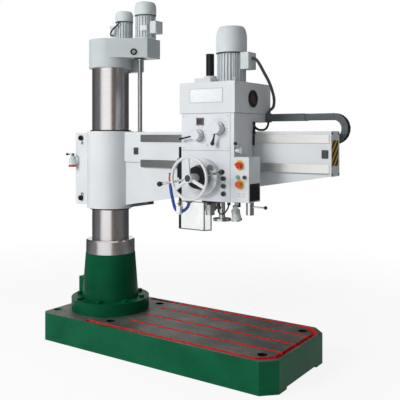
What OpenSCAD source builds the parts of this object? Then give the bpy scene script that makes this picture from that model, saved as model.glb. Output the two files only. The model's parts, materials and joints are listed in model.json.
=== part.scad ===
// Radial arm drill: base plate, swinging column, arm that climbs it, and a drilling head that runs along the arm.
// Millimetres. X runs along the arm, Y points to the back, Z is up. The origin is on the floor under the column.

/* [Base] */
// Distance from the column axis to the left end of the base
base_left = 285; // [275:1:400]
// Distance from the column axis to the right end of the base
base_right = 1430; // [1400:1:1600]
// Width of the base
base_w = 710; // [690:1:800]
// Height of the base
base_h = 178; // [150:1:220]
// Corner chamfer at the right end
base_chamfer = 78; // [40:1:90]
// Thickness of the base top
base_top_t = 66; // [60:1:80]
// Wall and rib thickness under the base
base_wall = 24; // [18:1:30]
// Distance between neighbouring T-slots
slot_pitch = 165; // [130:1:175]
// Width of a T-slot's mouth
slot_w = 22; // [18:1:28]
// Width of a T-slot's foot
slot_foot_w = 38; // [32:1:46]
// Depth of a T-slot's mouth
slot_mouth_d = 20; // [16:1:24]
// Height of a T-slot's foot
slot_foot_h = 18; // [14:1:22]
// Where the T-slots start
slot_start = 310; // [290:1:400]
// Width of the coolant gutter
gutter_w = 26; // [18:1:30]
// Depth of the coolant gutter
gutter_d = 14; // [8:1:20]
// Radius of an anchor hole
anchor_r = 14; // [10:1:16]
// Where the left pair of anchor holes is
anchor_left = -245; // [-250:1:-235]
// Where the middle pair of anchor holes is
anchor_mid = 230; // [225:1:260]
// Where the right pair of anchor holes is
anchor_right = 1316; // [1250:1:1320]
// Distance of the anchor holes from the centre line
anchor_y = 250; // [245:1:255]
// Radius of the sunk seat round an anchor hole
anchor_seat_r = 28; // [22:1:29]

/* [Column] */
// Radius of the outer column
column_r = 125; // [110:1:130]
// Wall of the outer column
column_wall = 20; // [12:1:20]
// Radius of the fixed inner post
post_r = 100; // [80:1:101]
// Radius of the foot's flange
flange_r = 262; // [245:1:265]
// Height of the foot's flange
flange_h = 80; // [50:1:90]
// Radius of the foot above its flange
foot_r_low = 190; // [180:1:196]
// Radius of the foot at its top
foot_r_top = 167; // [160:1:172]
// Height of the foot's top above the floor
foot_top_z = 557; // [520:1:570]
// Number of foot bolts
foot_bolts_n = 8; // [6:1:12]
// Radius of the foot's bolt circle
foot_bolt_pcr = 222; // [218:1:226]
// Radius of the bearing collar
ring_r = 165; // [150:1:172]
// Height of the bearing collar
ring_h = 91; // [70:1:100]
// Height of the column cap's underside above the floor
cap_z = 1801; // [1790:1:1900]
// Height of the column cap
cap_h = 191; // [170:1:210]
// Radius of the round end of the cap
cap_r = 145; // [140:1:155]

/* [Arm] */
// Radius of the arm's sleeve
sleeve_r = 158; // [150:1:160]
// Underside of the sleeve
sleeve_z = 861; // [840:1:880]
// Top of the arm
arm_top = 1370; // [1362:1:1378]
// Distance from the column axis to the arm's end
arm_reach = 1606; // [1500:1:1700]
// Front face of the arm's box
arm_front = -34; // [-36:1:-28]
// Back face of the arm
arm_back = 72; // [66:1:76]
// Underside of the arm's box
arm_box_z = 1173; // [1168:1:1178]
// Underside of the arm's web at its far end
web_end_z = 1125; // [1115:1:1130]
// Height of the upper guideway
way_upper_h = 47; // [40:1:50]
// Height of the lower guideway
way_lower_h = 48; // [42:1:52]
// Distance of a guideway's face in front of the arm's box
way_t = 6; // [4:1:8]
// Where the guideways start
way_start = 298; // [280:1:310]

/* [Lift screw] */
// Radius of the lift screw
screw_r = 16; // [12:0.5:18]
// Length of the lift motor's frame
lift_motor_h = 162; // [140:1:200]
// Length of its fan cowl
lift_cowl_h = 88; // [70:1:110]
// Length of the clamp motor's frame
clamp_motor_h = 133; // [133:1:160]
// Place of the lift screw along the arm
screw_x = 205; // [203:1:215]
// Place of the lift screw across the arm
screw_y = 67; // [60:1:72]

/* [Head] */
// Place of the head's left side along the arm
head_left = 780; // [700:1:900]
// Width of the head
head_w = 357; // [350:1:380]
// Front face of the head
head_front = -245; // [-255:1:-235]
// Underside of the head
head_z = 976; // [970:1:980]
// Height of the head's casting
head_h = 496; // [486:1:504]
// Height of the head's top cover
cover_h = 178; // [150:1:220]
// Wall of the head castings
head_wall = 14; // [10:1:14]
// Wall of the top cover
cover_wall = 8; // [5:1:8]
// Distance of the spindle's axis from the head's left side
spindle_in = 110; // [104:1:112]
// Place of the spindle across the arm
spindle_y = -112; // [-116:1:-108]
// Radius of the quill
quill_r = 36; // [32:1:37]
// Travel of the quill
quill_travel = 270; // [200:1:290]
// Radius of the spindle's nose
nose_r = 27; // [25:1:30]
// Mouth radius of the Morse number 4 taper socket
taper_r = 15.63; // [15:0.01:16]
// Depth of the taper socket
taper_depth = 110; // [90:1:115]
// Radius of the main motor's frame
motor_r = 78; // [70:1:80]
// Length of the main motor's frame
motor_h = 179; // [178:1:230]
// Length of the main motor's fan cowl
motor_cowl_h = 155; // [110:1:170]
// Height of the clear guard
guard_h = 166; // [140:1:180]

/* [Controls] */
// Radius of the traverse handwheel
wheel_r = 125; // [110:1:130]
// Number of handwheel spokes
wheel_spokes = 3; // [2:1:5]
// Length of a feed lever from its axis to its ball
lever_reach = 232; // [200:1:240]
// Number of feed levers
levers_n = 2; // [2:1:4]
// Radius of a ball knob
ball_r = 15; // [12:0.5:16]
// Radius of a push button
button_r = 13; // [10:0.5:14]

/* [Hidden] */
$fn = 64;

gap = 0.3;
run = 0.05;
over = 1;
green = [0.03, 0.33, 0.19];
white = [0.88, 0.9, 0.92];
motor_grey = [0.72, 0.76, 0.76];
steel = [0.7, 0.7, 0.7];
black = [0.06, 0.06, 0.07];

collar_z = foot_top_z + gap;
collar_top = foot_top_z + ring_h;
column_bore = column_r - column_wall;
post_top = cap_z - 101;
cap_top = cap_z + cap_h;
cap_box_z = cap_z + 63;
cap_end_x = screw_x + 94;
cap_end_y = [screw_y - 38, screw_y + 99];
cap_wall = 12;
sleeve_top = arm_top + 6;
way_front = arm_front - way_t;
web_front = arm_front + 10;
upper_way_z = arm_top - 18 - way_upper_h;
lower_way_z = arm_box_z - 31;
head_right = head_left + head_w;
head_back = way_front - gap;
cover_z = head_z + head_h;
cover_top = cover_z + cover_h;
spindle_x = head_left + spindle_in;
gutter_in = 20;
slot_end = base_right - gutter_in - gutter_w;
slots = [-slot_pitch, 0, slot_pitch];
tube_r = 24;
tube_top = cover_top + 176;
hub_x = spindle_x + 50;
hub_z = head_z + 136;
bolt_h = 14;

// A box given by its lowest and highest corners
module block(a, b) {
  translate(a) cube(b - a);
}

// A cylinder along Y from y0 to y1
module cyl_y(x, z, y0, y1, r) {
  translate([x, y1, z]) rotate([90, 0, 0]) cylinder(r = r, h = y1 - y0);
}

// A cylinder along X from x0 to x1
module cyl_x(y, z, x0, x1, r) {
  translate([x0, y, z]) rotate([0, 90, 0]) cylinder(r = r, h = x1 - x0);
}

// A flat ring
module ring(r_out, r_in, h) {
  difference() {
    cylinder(r = r_out, h = h);
    translate([0, 0, -over]) cylinder(r = r_in, h = h + 2 * over);
  }
}

// A tube swept along points, as one closed surface
function unit(v) = v / norm(v);
function tangent(p, i) = unit(p[min(i + 1, len(p) - 1)] - p[max(i - 1, 0)]);
function side(t) = abs(t[2]) > 0.9 ? unit(cross(t, [0, 1, 0])) : unit(cross(t, [0, 0, 1]));
function tube_points(p, r, n) = [for (i = [0 : len(p) - 1])
  let (t = tangent(p, i), u = side(t), v = cross(t, u))
  for (k = [0 : n - 1]) p[i] + r * (cos(360 * k / n) * u + sin(360 * k / n) * v)];
module tube(p, r, n = 10) {
  rings = len(p);
  polyhedron(tube_points(p, r, n), concat(
    [[for (k = [0 : n - 1]) k]],
    [[for (k = [n - 1 : -1 : 0]) (rings - 1) * n + k]],
    [for (i = [0 : rings - 2]) for (k = [0 : n - 1])
      [i * n + k, (i + 1) * n + k, (i + 1) * n + (k + 1) % n]],
    [for (i = [0 : rings - 2]) for (k = [0 : n - 1])
      [i * n + k, (i + 1) * n + (k + 1) % n, i * n + (k + 1) % n]]));
}

// Smooth points through a hand-chosen route
function bend(a, b, c, d, t) = 0.5 * (2 * b + (c - a) * t + (2 * a - 5 * b + 4 * c - d) * t * t
  + (3 * b - a - 3 * c + d) * t * t * t);
function smooth(p, n) = concat([for (i = [0 : len(p) - 2]) for (s = [0 : n - 1])
  bend(p[max(i - 1, 0)], p[i], p[i + 1], p[min(i + 2, len(p) - 1)], s / n)], [p[len(p) - 1]]);

// Outline of the base with its corner chamfers
module base_outline(inset = 0) {
  l = -base_left + inset;
  r = base_right - inset;
  w = base_w / 2 - inset;
  c = base_chamfer;
  d = 30;
  polygon([[l + d, -w], [r - c, -w], [r, -w + c], [r, w - c], [r - c, w], [l + d, w], [l, w - d],
    [l, -w + d]]);
}

// Hollows under the base, between its ribs
module base_hollows() {
  cols = 8;
  rows = 4;
  w = (base_w - 2 * base_wall + base_wall) / rows;
  l = (base_left + base_right - base_wall) / cols;
  for (i = [0 : cols - 1], j = [0 : rows - 1])
    translate([-base_left + base_wall + i * l, -base_w / 2 + base_wall + j * w, -over])
      intersection() {
        cube([l - base_wall, w - base_wall, base_h - base_top_t + over]);
        translate([base_left - base_wall - i * l, base_w / 2 - base_wall - j * w, 0])
          linear_extrude(base_h) base_outline(base_wall);
      }
}

// One T-slot, open at its right end
module t_slot(y) {
  z = base_h - slot_mouth_d;
  block([slot_start, y - slot_w / 2, z - over], [slot_end + over, y + slot_w / 2, base_h + over]);
  block([slot_start, y - slot_foot_w / 2, z - slot_foot_h], [slot_end + over, y + slot_foot_w / 2, z]);
}

// The gutter runs along the front and back edges and round the right end
module gutter_outline(x, w) {
  intersection() {
    difference() {
      base_outline(gutter_in);
      base_outline(gutter_in + gutter_w);
    }
    translate([x, -w / 2]) square([base_right, w]);
  }
}

module gutters() {
  foot_d = slot_mouth_d + slot_foot_h;
  translate([0, 0, base_h - gutter_d]) linear_extrude(gutter_d + over) gutter_outline(100, base_w);
  translate([0, 0, base_h - foot_d]) linear_extrude(foot_d + over)
    gutter_outline(slot_end - over, 2 * slot_pitch + 90);
  for (s = [-1, 1]) translate([112, s * (base_w / 2 - gutter_in - gutter_w / 2), base_h - gutter_d])
    cylinder(r = 20, h = gutter_d + over);
}

function anchors() = [for (x = [anchor_left, anchor_mid, anchor_right], s = [-1, 1]) [x, s * anchor_y]];

module base_plate() color(green) difference() {
  union() {
    difference() {
      linear_extrude(base_h) base_outline();
      base_hollows();
    }
    cylinder(r = 46, h = base_h - 10);
    for (p = anchors()) translate(p) cylinder(r = 2.4 * anchor_r, h = base_h - 10);
  }
  for (y = slots) t_slot(y);
  gutters();
  for (p = anchors()) translate([p[0], p[1], -over]) cylinder(r = anchor_r, h = base_h + 2 * over);
  for (p = anchors()) translate([p[0], p[1], base_h - 24]) cylinder(r = anchor_seat_r, h = 24 + over);
  block([base_right - base_wall - over, -190, -over], [base_right + over, 190, 12]);
}

function foot_bolt_places() = [for (i = [0 : foot_bolts_n - 1])
  foot_bolt_pcr * [cos(360 * (i + 0.5) / foot_bolts_n), sin(360 * (i + 0.5) / foot_bolts_n)]];

module column_foot() color(green) translate([0, 0, base_h]) difference() {
  h = foot_top_z - base_h;
  wall = 26;
  union() {
    cylinder(r = flange_r, h = flange_h);
    translate([0, 0, flange_h]) cylinder(r1 = foot_r_low, r2 = foot_r_top, h = h - flange_h);
  }
  translate([0, 0, -over]) cylinder(r = post_r + gap, h = h + 2 * over);
  translate([0, 0, 40]) cylinder(r1 = foot_r_low - wall, r2 = foot_r_top - wall, h = h - 90);
  for (p = foot_bolt_places()) translate([p[0], p[1], -over]) cylinder(r = 11, h = flange_h + 2 * over);
}

module foot_bolts() color(black) for (p = foot_bolt_places()) translate([p[0], p[1], base_h + 10]) {
  cylinder(r = 10.6, h = flange_h - 10);
  translate([0, 0, flange_h - 10]) cylinder(r = 19, h = bolt_h, $fn = 6);
}

module inner_post() color(steel) translate([0, 0, base_h]) ring(post_r, post_r - 22, post_top - base_h);

module junction_box() color(green) rotate(182)
  block([foot_r_low + 1.5, -48, base_h + flange_h], [foot_r_low + 54, 48, base_h + flange_h + 110]);

module outer_column() color(steel) translate([0, 0, collar_z + 6]) {
  ring(column_r, column_bore, cap_z + 60 - collar_z - 6);
  translate([0, 0, post_top + 26 - collar_z - 6]) cylinder(r = column_bore + over, h = 20);
}

module bearing_collar() color(steel) translate([0, 0, collar_z]) rotate_extrude() polygon([
  [column_r + gap, 6], [post_r + 2 * gap, 6], [post_r + 2 * gap, 0], [ring_r, 0],
  [ring_r, ring_h - 8], [ring_r - 8, ring_h], [column_r + gap, ring_h]]);

module column_bearing() color("darkgoldenrod") {
  translate([0, 0, collar_top - 28]) ring(column_bore - gap, post_r + run, 80);
  translate([0, 0, post_top - 90]) ring(column_bore - gap, post_r + run, 80);
  translate([0, 0, post_top + gap]) cylinder(r = column_bore - gap, h = 25);
}

// Where a line from a corner touches the round end of the cap
function touch(p, s) = let (d = norm(p), a = atan2(p[1], p[0]) + s * acos(cap_r / d))
  cap_r * [cos(a), sin(a)];

module cap_outline() {
  a = [cap_end_x, cap_end_y[0]];
  b = [cap_end_x, cap_end_y[1]];
  circle(r = cap_r, $fn = 128);
  polygon([[0, 0], touch(a, -1), a, b, touch(b, 1)]);
}

module column_cap() color(white) difference() {
  union() {
    translate([0, 0, cap_z]) cylinder(r = cap_r, h = cap_h, $fn = 128);
    translate([0, 0, cap_box_z]) linear_extrude(cap_top - cap_box_z) cap_outline();
  }
  translate([0, 0, cap_z - over]) cylinder(r = column_r + gap, h = 61 + over);
  translate([0, 0, cap_z + 59]) cylinder(r = column_bore, h = cap_h - 59 - cap_wall);
  translate([screw_x, screw_y, cap_box_z - over]) cylinder(r = screw_r + 0.8, h = 40);
  block([cap_r - 60, cap_end_y[0] + cap_wall, cap_box_z + 38],
    [cap_end_x - cap_wall, cap_end_y[1] - cap_wall - 14, cap_top - cap_wall]);
}

module lift_gearbox() color(white) difference() {
  block([40, 92, cap_box_z - 84], [screw_x - screw_r - 12, 142, cap_box_z]);
  cylinder(r = cap_r + gap, h = cap_top, $fn = 128);
}

lift_motor_at = [screw_x + 27, screw_y + 25];
clamp_motor_at = [58, 75];

// A motor's finned frame standing on its flange
module motor_frame(r, h, fins, fin) {
  cylinder(r = r + fin, h = 12);
  cylinder(r = r, h = h);
  for (i = [0 : fins - 1]) rotate(360 * i / fins) translate([r - 4, -1.5, 11]) cube([fin + 4, 3, h - 15]);
}

// A fan cowl with a rounded top, standing on z = 0
module cowl(r, h) {
  rotate_extrude() polygon(concat([[0, 0], [r, 0], [r, h * 0.55]],
    [for (a = [15 : 15 : 75]) [r - 0.3 * r * (1 - cos(a)), h * 0.55 + h * 0.45 * sin(a)]],
    [[r * 0.62, h], [0, h]]));
}

module lift_motor() color(motor_grey) translate([lift_motor_at[0], lift_motor_at[1], cap_top])
  motor_frame(60, lift_motor_h, 20, 8);
module clamp_motor() color(motor_grey) translate([clamp_motor_at[0], clamp_motor_at[1], cap_top])
  motor_frame(50, clamp_motor_h, 18, 7);
module fan_cowls() color(motor_grey) {
  translate([lift_motor_at[0], lift_motor_at[1], cap_top + lift_motor_h]) cowl(73, lift_cowl_h);
  translate([clamp_motor_at[0], clamp_motor_at[1], cap_top + clamp_motor_h]) cowl(61, 71);
}
module terminal_boxes() color(motor_grey) {
  translate([lift_motor_at[0] + 68.5, lift_motor_at[1] - 36, cap_top + 32]) cube([48, 72, 82]);
  translate([clamp_motor_at[0] - 57.5 - 42, clamp_motor_at[1] - 34, cap_top + 40]) cube([42, 68, 72]);
}
clamp_cable_route = [for (p = [[-78, -34.8, 44], [-78, -49, 46], [-66, -65, 56], [-44, -74, 74],
  [-20, -75, 90], [0, -68, 107], [7, -64, 121], [9, -63, 131]])
  [clamp_motor_at[0], clamp_motor_at[1], cap_top] + p];
module clamp_motor_cable() color(black) tube(smooth(clamp_cable_route, 3), 5, 8);

module lift_screw() color(steel) translate([screw_x, screw_y, 0]) {
  translate([0, 0, sleeve_z + 44]) cylinder(r = screw_r, h = cap_box_z + 16 - sleeve_z);
  translate([0, 0, cap_box_z - 12]) cylinder(r = screw_r + 9, h = 11.5);
}

// Underside of the arm's tapering web
web_slope = (web_end_z - sleeve_z - 8) / (arm_reach - 60);
function web_z(x) = sleeve_z + 8 + web_slope * (x - 60);

// An outline in X and Z pushed from y0 to y1
module plate_xz(y0, y1, points) {
  translate([0, y1, 0]) rotate([90, 0, 0]) linear_extrude(y1 - y0) polygon(points);
}

lug_x = [-300, -140];
lug_y = 32;
lug_z = [sleeve_z + 7, sleeve_top - 10];
clamp_bolt_x = -244;
clamp_bolt_z = [lug_z[0] + 43, lug_z[1] - 36];
chain_y = [arm_back + 38, arm_back + 82];
chain_low = arm_top - 72;
chain_t = 39;
chain_r = 87;
chain_cx = arm_reach - 41;
chain_cz = chain_low + chain_r;
tail_end = head_right + 258;
shelf_x = [head_left - 80, arm_reach - 35];

module arm_casting() color(white) difference() {
  union() {
    translate([0, 0, sleeve_z]) cylinder(r = sleeve_r, h = sleeve_top - sleeve_z, $fn = 128);
    block([60, arm_front, arm_box_z], [arm_reach, arm_back, arm_top]);
    plate_xz(web_front, arm_back, [[60, web_z(60)], [arm_reach, web_end_z], [arm_reach, arm_box_z + over],
      [60, arm_box_z + over]]);
    translate([screw_x, screw_y, web_z(screw_x) + 10]) cylinder(r = 40, h = arm_top - web_z(screw_x) - 10);
    block([lug_x[0], -lug_y, lug_z[0]], [lug_x[1], lug_y, lug_z[1]]);
    block([shelf_x[0], arm_back, chain_low - 13], [shelf_x[1], chain_y[1] + 8, chain_low - gap]);
    block([shelf_x[0], chain_y[1] + 4, chain_low - 13], [shelf_x[1], chain_y[1] + 8, chain_low + 28]);
  }
  translate([0, 0, sleeve_z - over])
    cylinder(r = column_r + gap, h = sleeve_top - sleeve_z + 2 * over, $fn = 128);
  translate([screw_x, screw_y, sleeve_z]) cylinder(r = screw_r + 5, h = arm_top);
  translate([screw_x, screw_y, arm_top - 70]) cylinder(r = 28.3, h = 80);
  plate_xz(web_front + 14, arm_back - 14, [[340, web_z(340) + 28], [arm_reach + over, web_end_z + 28],
    [arm_reach + over, arm_top - 14], [340, arm_top - 14]]);
  block([lug_x[0] - over, -4, lug_z[0] - over], [-column_r + 10, 4, lug_z[1] + over]);
  for (z = clamp_bolt_z) cyl_y(clamp_bolt_x, z, -lug_y - over, lug_y + over, 12);
}

module arm_ways() color(steel) {
  x1 = arm_reach - 2;
  block([way_start, way_front, upper_way_z], [x1, arm_front, upper_way_z + way_upper_h]);
  block([way_start, way_front, lower_way_z], [x1, arm_front, lower_way_z + way_lower_h]);
}

module traverse_rack() color(steel) {
  pitch = 9.42;
  x0 = way_start + 52;
  n = floor((arm_reach - 45 - x0) / pitch);
  z = arm_box_z - gap;
  plate_xz(arm_front + gap, web_front - gap, concat([[x0, z], [x0, z - 20]],
    [for (i = [0 : n - 1]) each [[x0 + pitch * (i + 0.2), z - 20], [x0 + pitch * (i + 0.38), z - 13.5],
      [x0 + pitch * (i + 0.82), z - 13.5], [x0 + pitch * (i + 1), z - 20]]],
    [[x0 + pitch * (n + 0.6), z - 20], [x0 + pitch * (n + 0.6), z]]));
}

module arm_end_plate() color(white)
  block([arm_reach, way_front, web_end_z], [arm_reach + 12, arm_back, arm_top]);

module lift_nut() color("darkgoldenrod") translate([screw_x, screw_y, arm_top]) difference() {
  union() {
    translate([0, 0, -70]) cylinder(r = 28, h = 70);
    cylinder(r = 33, h = 3);
  }
  translate([0, 0, -71]) cylinder(r = screw_r + run, h = 90);
}

module sleeve_wipers() color(black) {
  translate([0, 0, sleeve_top]) ring(column_r + 12, column_r + gap, 8);
  translate([0, 0, sleeve_z - 10]) ring(column_r + 14, column_r + gap, 10);
}

module clamp_bolts() color(black) for (z = clamp_bolt_z) {
  cyl_y(clamp_bolt_x, z, -lug_y, lug_y, 11.7);
  cyl_y(clamp_bolt_x, z, -lug_y - bolt_h, -lug_y, 18);
  cyl_y(clamp_bolt_x, z, lug_y, lug_y + bolt_h, 18);
}

pump = [lug_x[0], -66, sleeve_z + 267];
module oil_pump() color(motor_grey) {
  block([pump[0] + 2, pump[1] + 14, pump[2] + 22], [pump[0] + 32, -lug_y, pump[2] + 72]);
  translate(pump) cylinder(r = 24, h = 56);
  translate(pump) translate([0, 0, 56]) cylinder(r = 15, h = 18);
  for (s = [-1, 1]) translate([pump[0] - 8, pump[1] + s * 11 - 3, pump[2] + 70]) cube([16, 6, 24]);
  cyl_y(pump[0], pump[2] + 87, pump[1] - 14, pump[1] + 14, 3.5);
}

module oil_pump_lever() color(black) difference() {
  union() {
    cyl_y(pump[0], pump[2] + 87, pump[1] - 7, pump[1] + 7, 8);
    cyl_x(pump[1], pump[2] + 87, pump[0] - 46, pump[0] - 4.6, 4);
    translate([pump[0] - 50, pump[1], pump[2] + 87]) rotate(180) sphere(r = 9);
  }
  cyl_y(pump[0], pump[2] + 87, pump[1] - 8, pump[1] + 8, 3.5 + run);
}

module drag_chain() color(black) {
  y = chain_y;
  block([head_right + 48, y[0], chain_cz + chain_r - chain_t], [chain_cx, y[1], chain_cz + chain_r]);
  block([head_left + 180, y[0], chain_low], [chain_cx, y[1], chain_low + chain_t]);
  difference() {
    cyl_y(chain_cx, chain_cz, y[0], y[1], chain_r);
    cyl_y(chain_cx, chain_cz, y[0] - over, y[1] + over, chain_r - chain_t);
    block([chain_cx - chain_r - over, y[0] - over, chain_low - over],
      [chain_cx, y[1] + over, chain_low + 2 * chain_r + over]);
  }
}

module chain_tail() color(black) {
  z0 = chain_cz + chain_r - chain_t - 2;
  z1 = chain_cz + chain_r + 2;
  x0 = head_right + 3 + gap;
  for (y = [chain_y[0] - 0.5 - 4, chain_y[1] + 0.5]) block([x0, y, z0], [tail_end, y + 4, z1]);
  for (z = [z0 - 5, z1]) block([x0, chain_y[0] - 4.5, z], [x0 + 16, chain_y[1] + 4.5, z + 5]);
}

hook_x = [head_left + 60, head_left + 240];
cover_back = arm_back + 98;
slab_z = cover_z - 47;
cover_right = head_right + 3;
cover_left = head_left - 15;
front_shafts = [[spindle_x + 10, head_z + 372, 9], [spindle_x + 146, head_z + 411, 9]];
button_z = [head_z + 131, head_z + 89, head_z + 46];
button_x = head_right - 68;
feed_wheel_at = [spindle_x + 107, spindle_y - 38];
clutch_at = [head_right + 56, head_front + 75];
lamp_at = [head_right - 42, head_front + 95];
head_clamp_at = [head_front + 20, head_z + 288];
sight_at = [-47, cover_z + 86];
gear_module = 3;
gear_teeth = 56;
pinion_teeth = 28;
gear_h = 30;
gear_z = cover_z + cover_wall + 4;
gear_aim = atan2(62, 110);
centres = gear_module * (gear_teeth + pinion_teeth) / 2;
pinion_at = [spindle_x, spindle_y] + centres * [cos(gear_aim), sin(gear_aim)];
motor_at = pinion_at;

module head_casting() color(white) difference() {
  union() {
    difference() {
      block([head_left, head_front, head_z], [head_right, head_back, cover_z]);
      block([head_left + head_wall, head_front + head_wall, head_z + head_wall],
        [head_right - head_wall, head_back - head_wall, cover_z + over]);
    }
    translate([spindle_x, spindle_y, head_z]) cylinder(r = quill_r + 11, h = 190);
    block([hook_x[0], head_back - head_wall, arm_top + gap], [hook_x[1], arm_back + 20, arm_top + 23]);
    block([hook_x[0], arm_back + gap, arm_top - 25], [hook_x[1], arm_back + 20, arm_top + 1]);
    block([hook_x[0], head_back - head_wall - 6, arm_top + gap - 40],
      [hook_x[1], head_back - head_wall, arm_top + 23]);
  }
  translate([spindle_x, spindle_y, head_z - over]) cylinder(r = quill_r + run, h = 200);
  for (s = front_shafts) cyl_y(s[0], s[1], head_front - over, head_front + 30, s[2] + run);
  cyl_y(hub_x, hub_z, head_front - over, head_front + head_wall + over, 22 + run);
  for (z = button_z) cyl_y(button_x, z, head_front - over, head_front + head_wall + over, button_r - 3);
  translate([feed_wheel_at[0], feed_wheel_at[1], head_z - over])
    cylinder(r = 9 + run, h = head_wall + 2 * over);
  cyl_x(head_clamp_at[0], head_clamp_at[1], head_right - head_wall - 12, head_right + over, 9 + run);
}

module head_cover() color(white) difference() {
  union() {
    block([cover_left, head_front, cover_z], [cover_right, cover_back, cover_top]);
    block([head_left + 20, head_back, slab_z], [cover_right, cover_back, cover_z + over]);
    translate([spindle_x, spindle_y, cover_top]) translate([-62, -70, 0]) cube([110, 124, 30]);
    translate([spindle_x, spindle_y, cover_top]) cylinder(r = 38, h = 45);
  }
  block([cover_left + cover_wall, head_front + cover_wall, cover_z + cover_wall],
    [cover_right - cover_wall, cover_back - cover_wall, cover_top - cover_wall]);
  block([head_left + 20 + cover_wall, head_back + cover_wall, slab_z + 5],
    [cover_right - cover_wall, cover_back - cover_wall, cover_z + 2 * cover_wall]);
  block([cover_right - cover_wall - over, chain_y[0] - 2, chain_cz + chain_r - chain_t - 2],
    [cover_right + over, chain_y[1] + 2, chain_cz + chain_r + 2]);
  translate([spindle_x, spindle_y, cover_z - over]) cylinder(r = tube_r - 6, h = cover_top);
  translate([pinion_at[0], pinion_at[1], cover_z - over]) cylinder(r = 16, h = cover_top - cover_z + 10);
  translate([motor_at[0], motor_at[1], cover_top]) cylinder(r = motor_r + 8 + gap, h = 60);
  cyl_x(sight_at[0], sight_at[1], cover_right - 4, cover_right + over, 40);
}

box_x = [head_right, head_right + 93];
box_y = [head_front, head_front + 125];
box_z = [head_z + 4, head_z + 253];
switch_at = [head_right + 35, head_z + 207];
stop_at = [head_right + 35, head_z + 103];
box_buttons = [[head_right + 23, head_z + 142], [head_right + 67, head_z + 142]];
module control_box() color(white) difference() {
  block([box_x[0] + gap, box_y[0], box_z[0]], [box_x[1], box_y[1], box_z[1]]);
  block([box_x[0] + 5, box_y[0] + 5, box_z[0] + 5], [box_x[1] - 5, box_y[1] - 5, box_z[1] - 5]);
  cyl_y(switch_at[0], switch_at[1], box_y[0] - over, box_y[0] + 6, 7 + run);
  cyl_y(stop_at[0], stop_at[1], box_y[0] - over, box_y[0] + 6, 9 + run);
  for (b = box_buttons) cyl_y(b[0], b[1], box_y[0] - over, box_y[0] + 6, 7 + run);
}

module feed_hub_cover() color(white) difference() {
  union() {
    cyl_y(hub_x, hub_z, head_front - 34, head_front, 104);
    cyl_y(hub_x, hub_z, head_front - 46, head_front - 34, 60);
  }
  cyl_y(hub_x, hub_z, head_front - 47, head_front + over, 22 + run);
}

module main_motor() color(motor_grey) translate([motor_at[0], motor_at[1], cover_top])
  motor_frame(motor_r, motor_h, 28, 8);
module main_motor_cowl() color(motor_grey) translate([motor_at[0], motor_at[1], cover_top + motor_h])
  cowl(motor_r + 13, motor_cowl_h);
motor_box_x = [motor_at[0] + motor_r + 8.5, motor_at[0] + motor_r + 60];
module main_motor_box() color(motor_grey) block([motor_box_x[0], motor_at[1] - 44, cover_top + 78],
  [motor_box_x[1], motor_at[1] + 44, cover_top + 175]);
motor_route = [for (p = [[1.5, 0, 0], [14, 1, -1], [30, 15, -18], [46, 55, -75], [56, 110, -140],
  [54, 165, -215], [40, 188, -270], [18, 184, -293], [14, 182, -308.5]])
  [motor_box_x[1], motor_at[1], cover_top + 140] + p];
module motor_cable() color(black) tube(smooth(motor_route, 4), 9, 8);

module spindle_tube() color(black) translate([spindle_x, spindle_y, cover_top + 45]) difference() {
  cylinder(r = tube_r, h = tube_top - cover_top - 45);
  translate([0, 0, -over]) cylinder(r = tube_r - 6, h = tube_top - cover_top - 45 - 4);
}

module sight_window() color("sienna")
  cyl_x(sight_at[0], sight_at[1], cover_right - 4, cover_right + 5, 40 - gap);

module speed_display() color("darkred")
  block([spindle_x, head_front - 2.5, cover_z - 61], [spindle_x + 40, head_front, cover_z - 30]);

module work_lamp() color(motor_grey) {
  translate([lamp_at[0], lamp_at[1], head_z - 24]) cylinder(r = 12, h = 24);
  translate([lamp_at[0] - 6, lamp_at[1] - 8, head_z - 30]) rotate([14, 0, 0]) translate([0, 0, -80]) {
    cylinder(r1 = 30, r2 = 20, h = 62);
    translate([0, 0, 60]) cylinder(r = 14, h = 24);
  }
}

pipe_root = [head_left + 46, head_front + 9, head_z - gap];
pipe_route = [for (p = [[0, 0, 0], [0, -1, -16], [-3, -10, -42], [-20, -26, -63], [-40, -36, -70],
  [-56, -43, -64], [-70, -48, -40], [-83, -50, 9], [-94, -50, 54], [-98, -50, 94], [-100, -50, 124],
  [-100, -49, 154]]) pipe_root + p];
module coolant_pipe() color("royalblue") tube(smooth(pipe_route, 5), 8, 8);

nose_z = head_z - 96;
quill_z = nose_z + 26;
socket_body_r = 24;
socket_body_top = nose_z + taper_depth + 40;
shaft_r = 16;

module quill() color(steel) translate([spindle_x, spindle_y, 0]) difference() {
  translate([0, 0, quill_z]) cylinder(r = quill_r, h = quill_travel + 150);
  translate([0, 0, quill_z - over])
    cylinder(r = socket_body_r + run, h = socket_body_top - quill_z + over + gap);
  translate([0, 0, quill_z]) cylinder(r = shaft_r + run, h = quill_travel + 160);
}

module spindle() color("silver") translate([spindle_x, spindle_y, 0]) difference() {
  union() {
    translate([0, 0, nose_z]) cylinder(r = nose_r, h = 26 - gap);
    translate([0, 0, nose_z]) cylinder(r = socket_body_r, h = socket_body_top - nose_z);
    translate([0, 0, socket_body_top - over]) cylinder(r = shaft_r, h = tube_top - 11 - socket_body_top);
  }
  translate([0, 0, nose_z - 0.01]) cylinder(r1 = taper_r, r2 = taper_r - 0.026 * taper_depth, h = taper_depth);
}

// Outline of a spur gear with straight-sided teeth
module gear_outline(teeth) {
  r = teeth * gear_module / 2;
  a = 360 / teeth;
  tooth = [[r - 3.6, -0.32], [r + 2.4, -0.12], [r + 2.4, 0.12], [r - 3.6, 0.32]];
  polygon([for (i = [0 : teeth - 1], t = tooth) t[0] * [cos(a * (i + t[1])), sin(a * (i + t[1]))]]);
}

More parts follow.
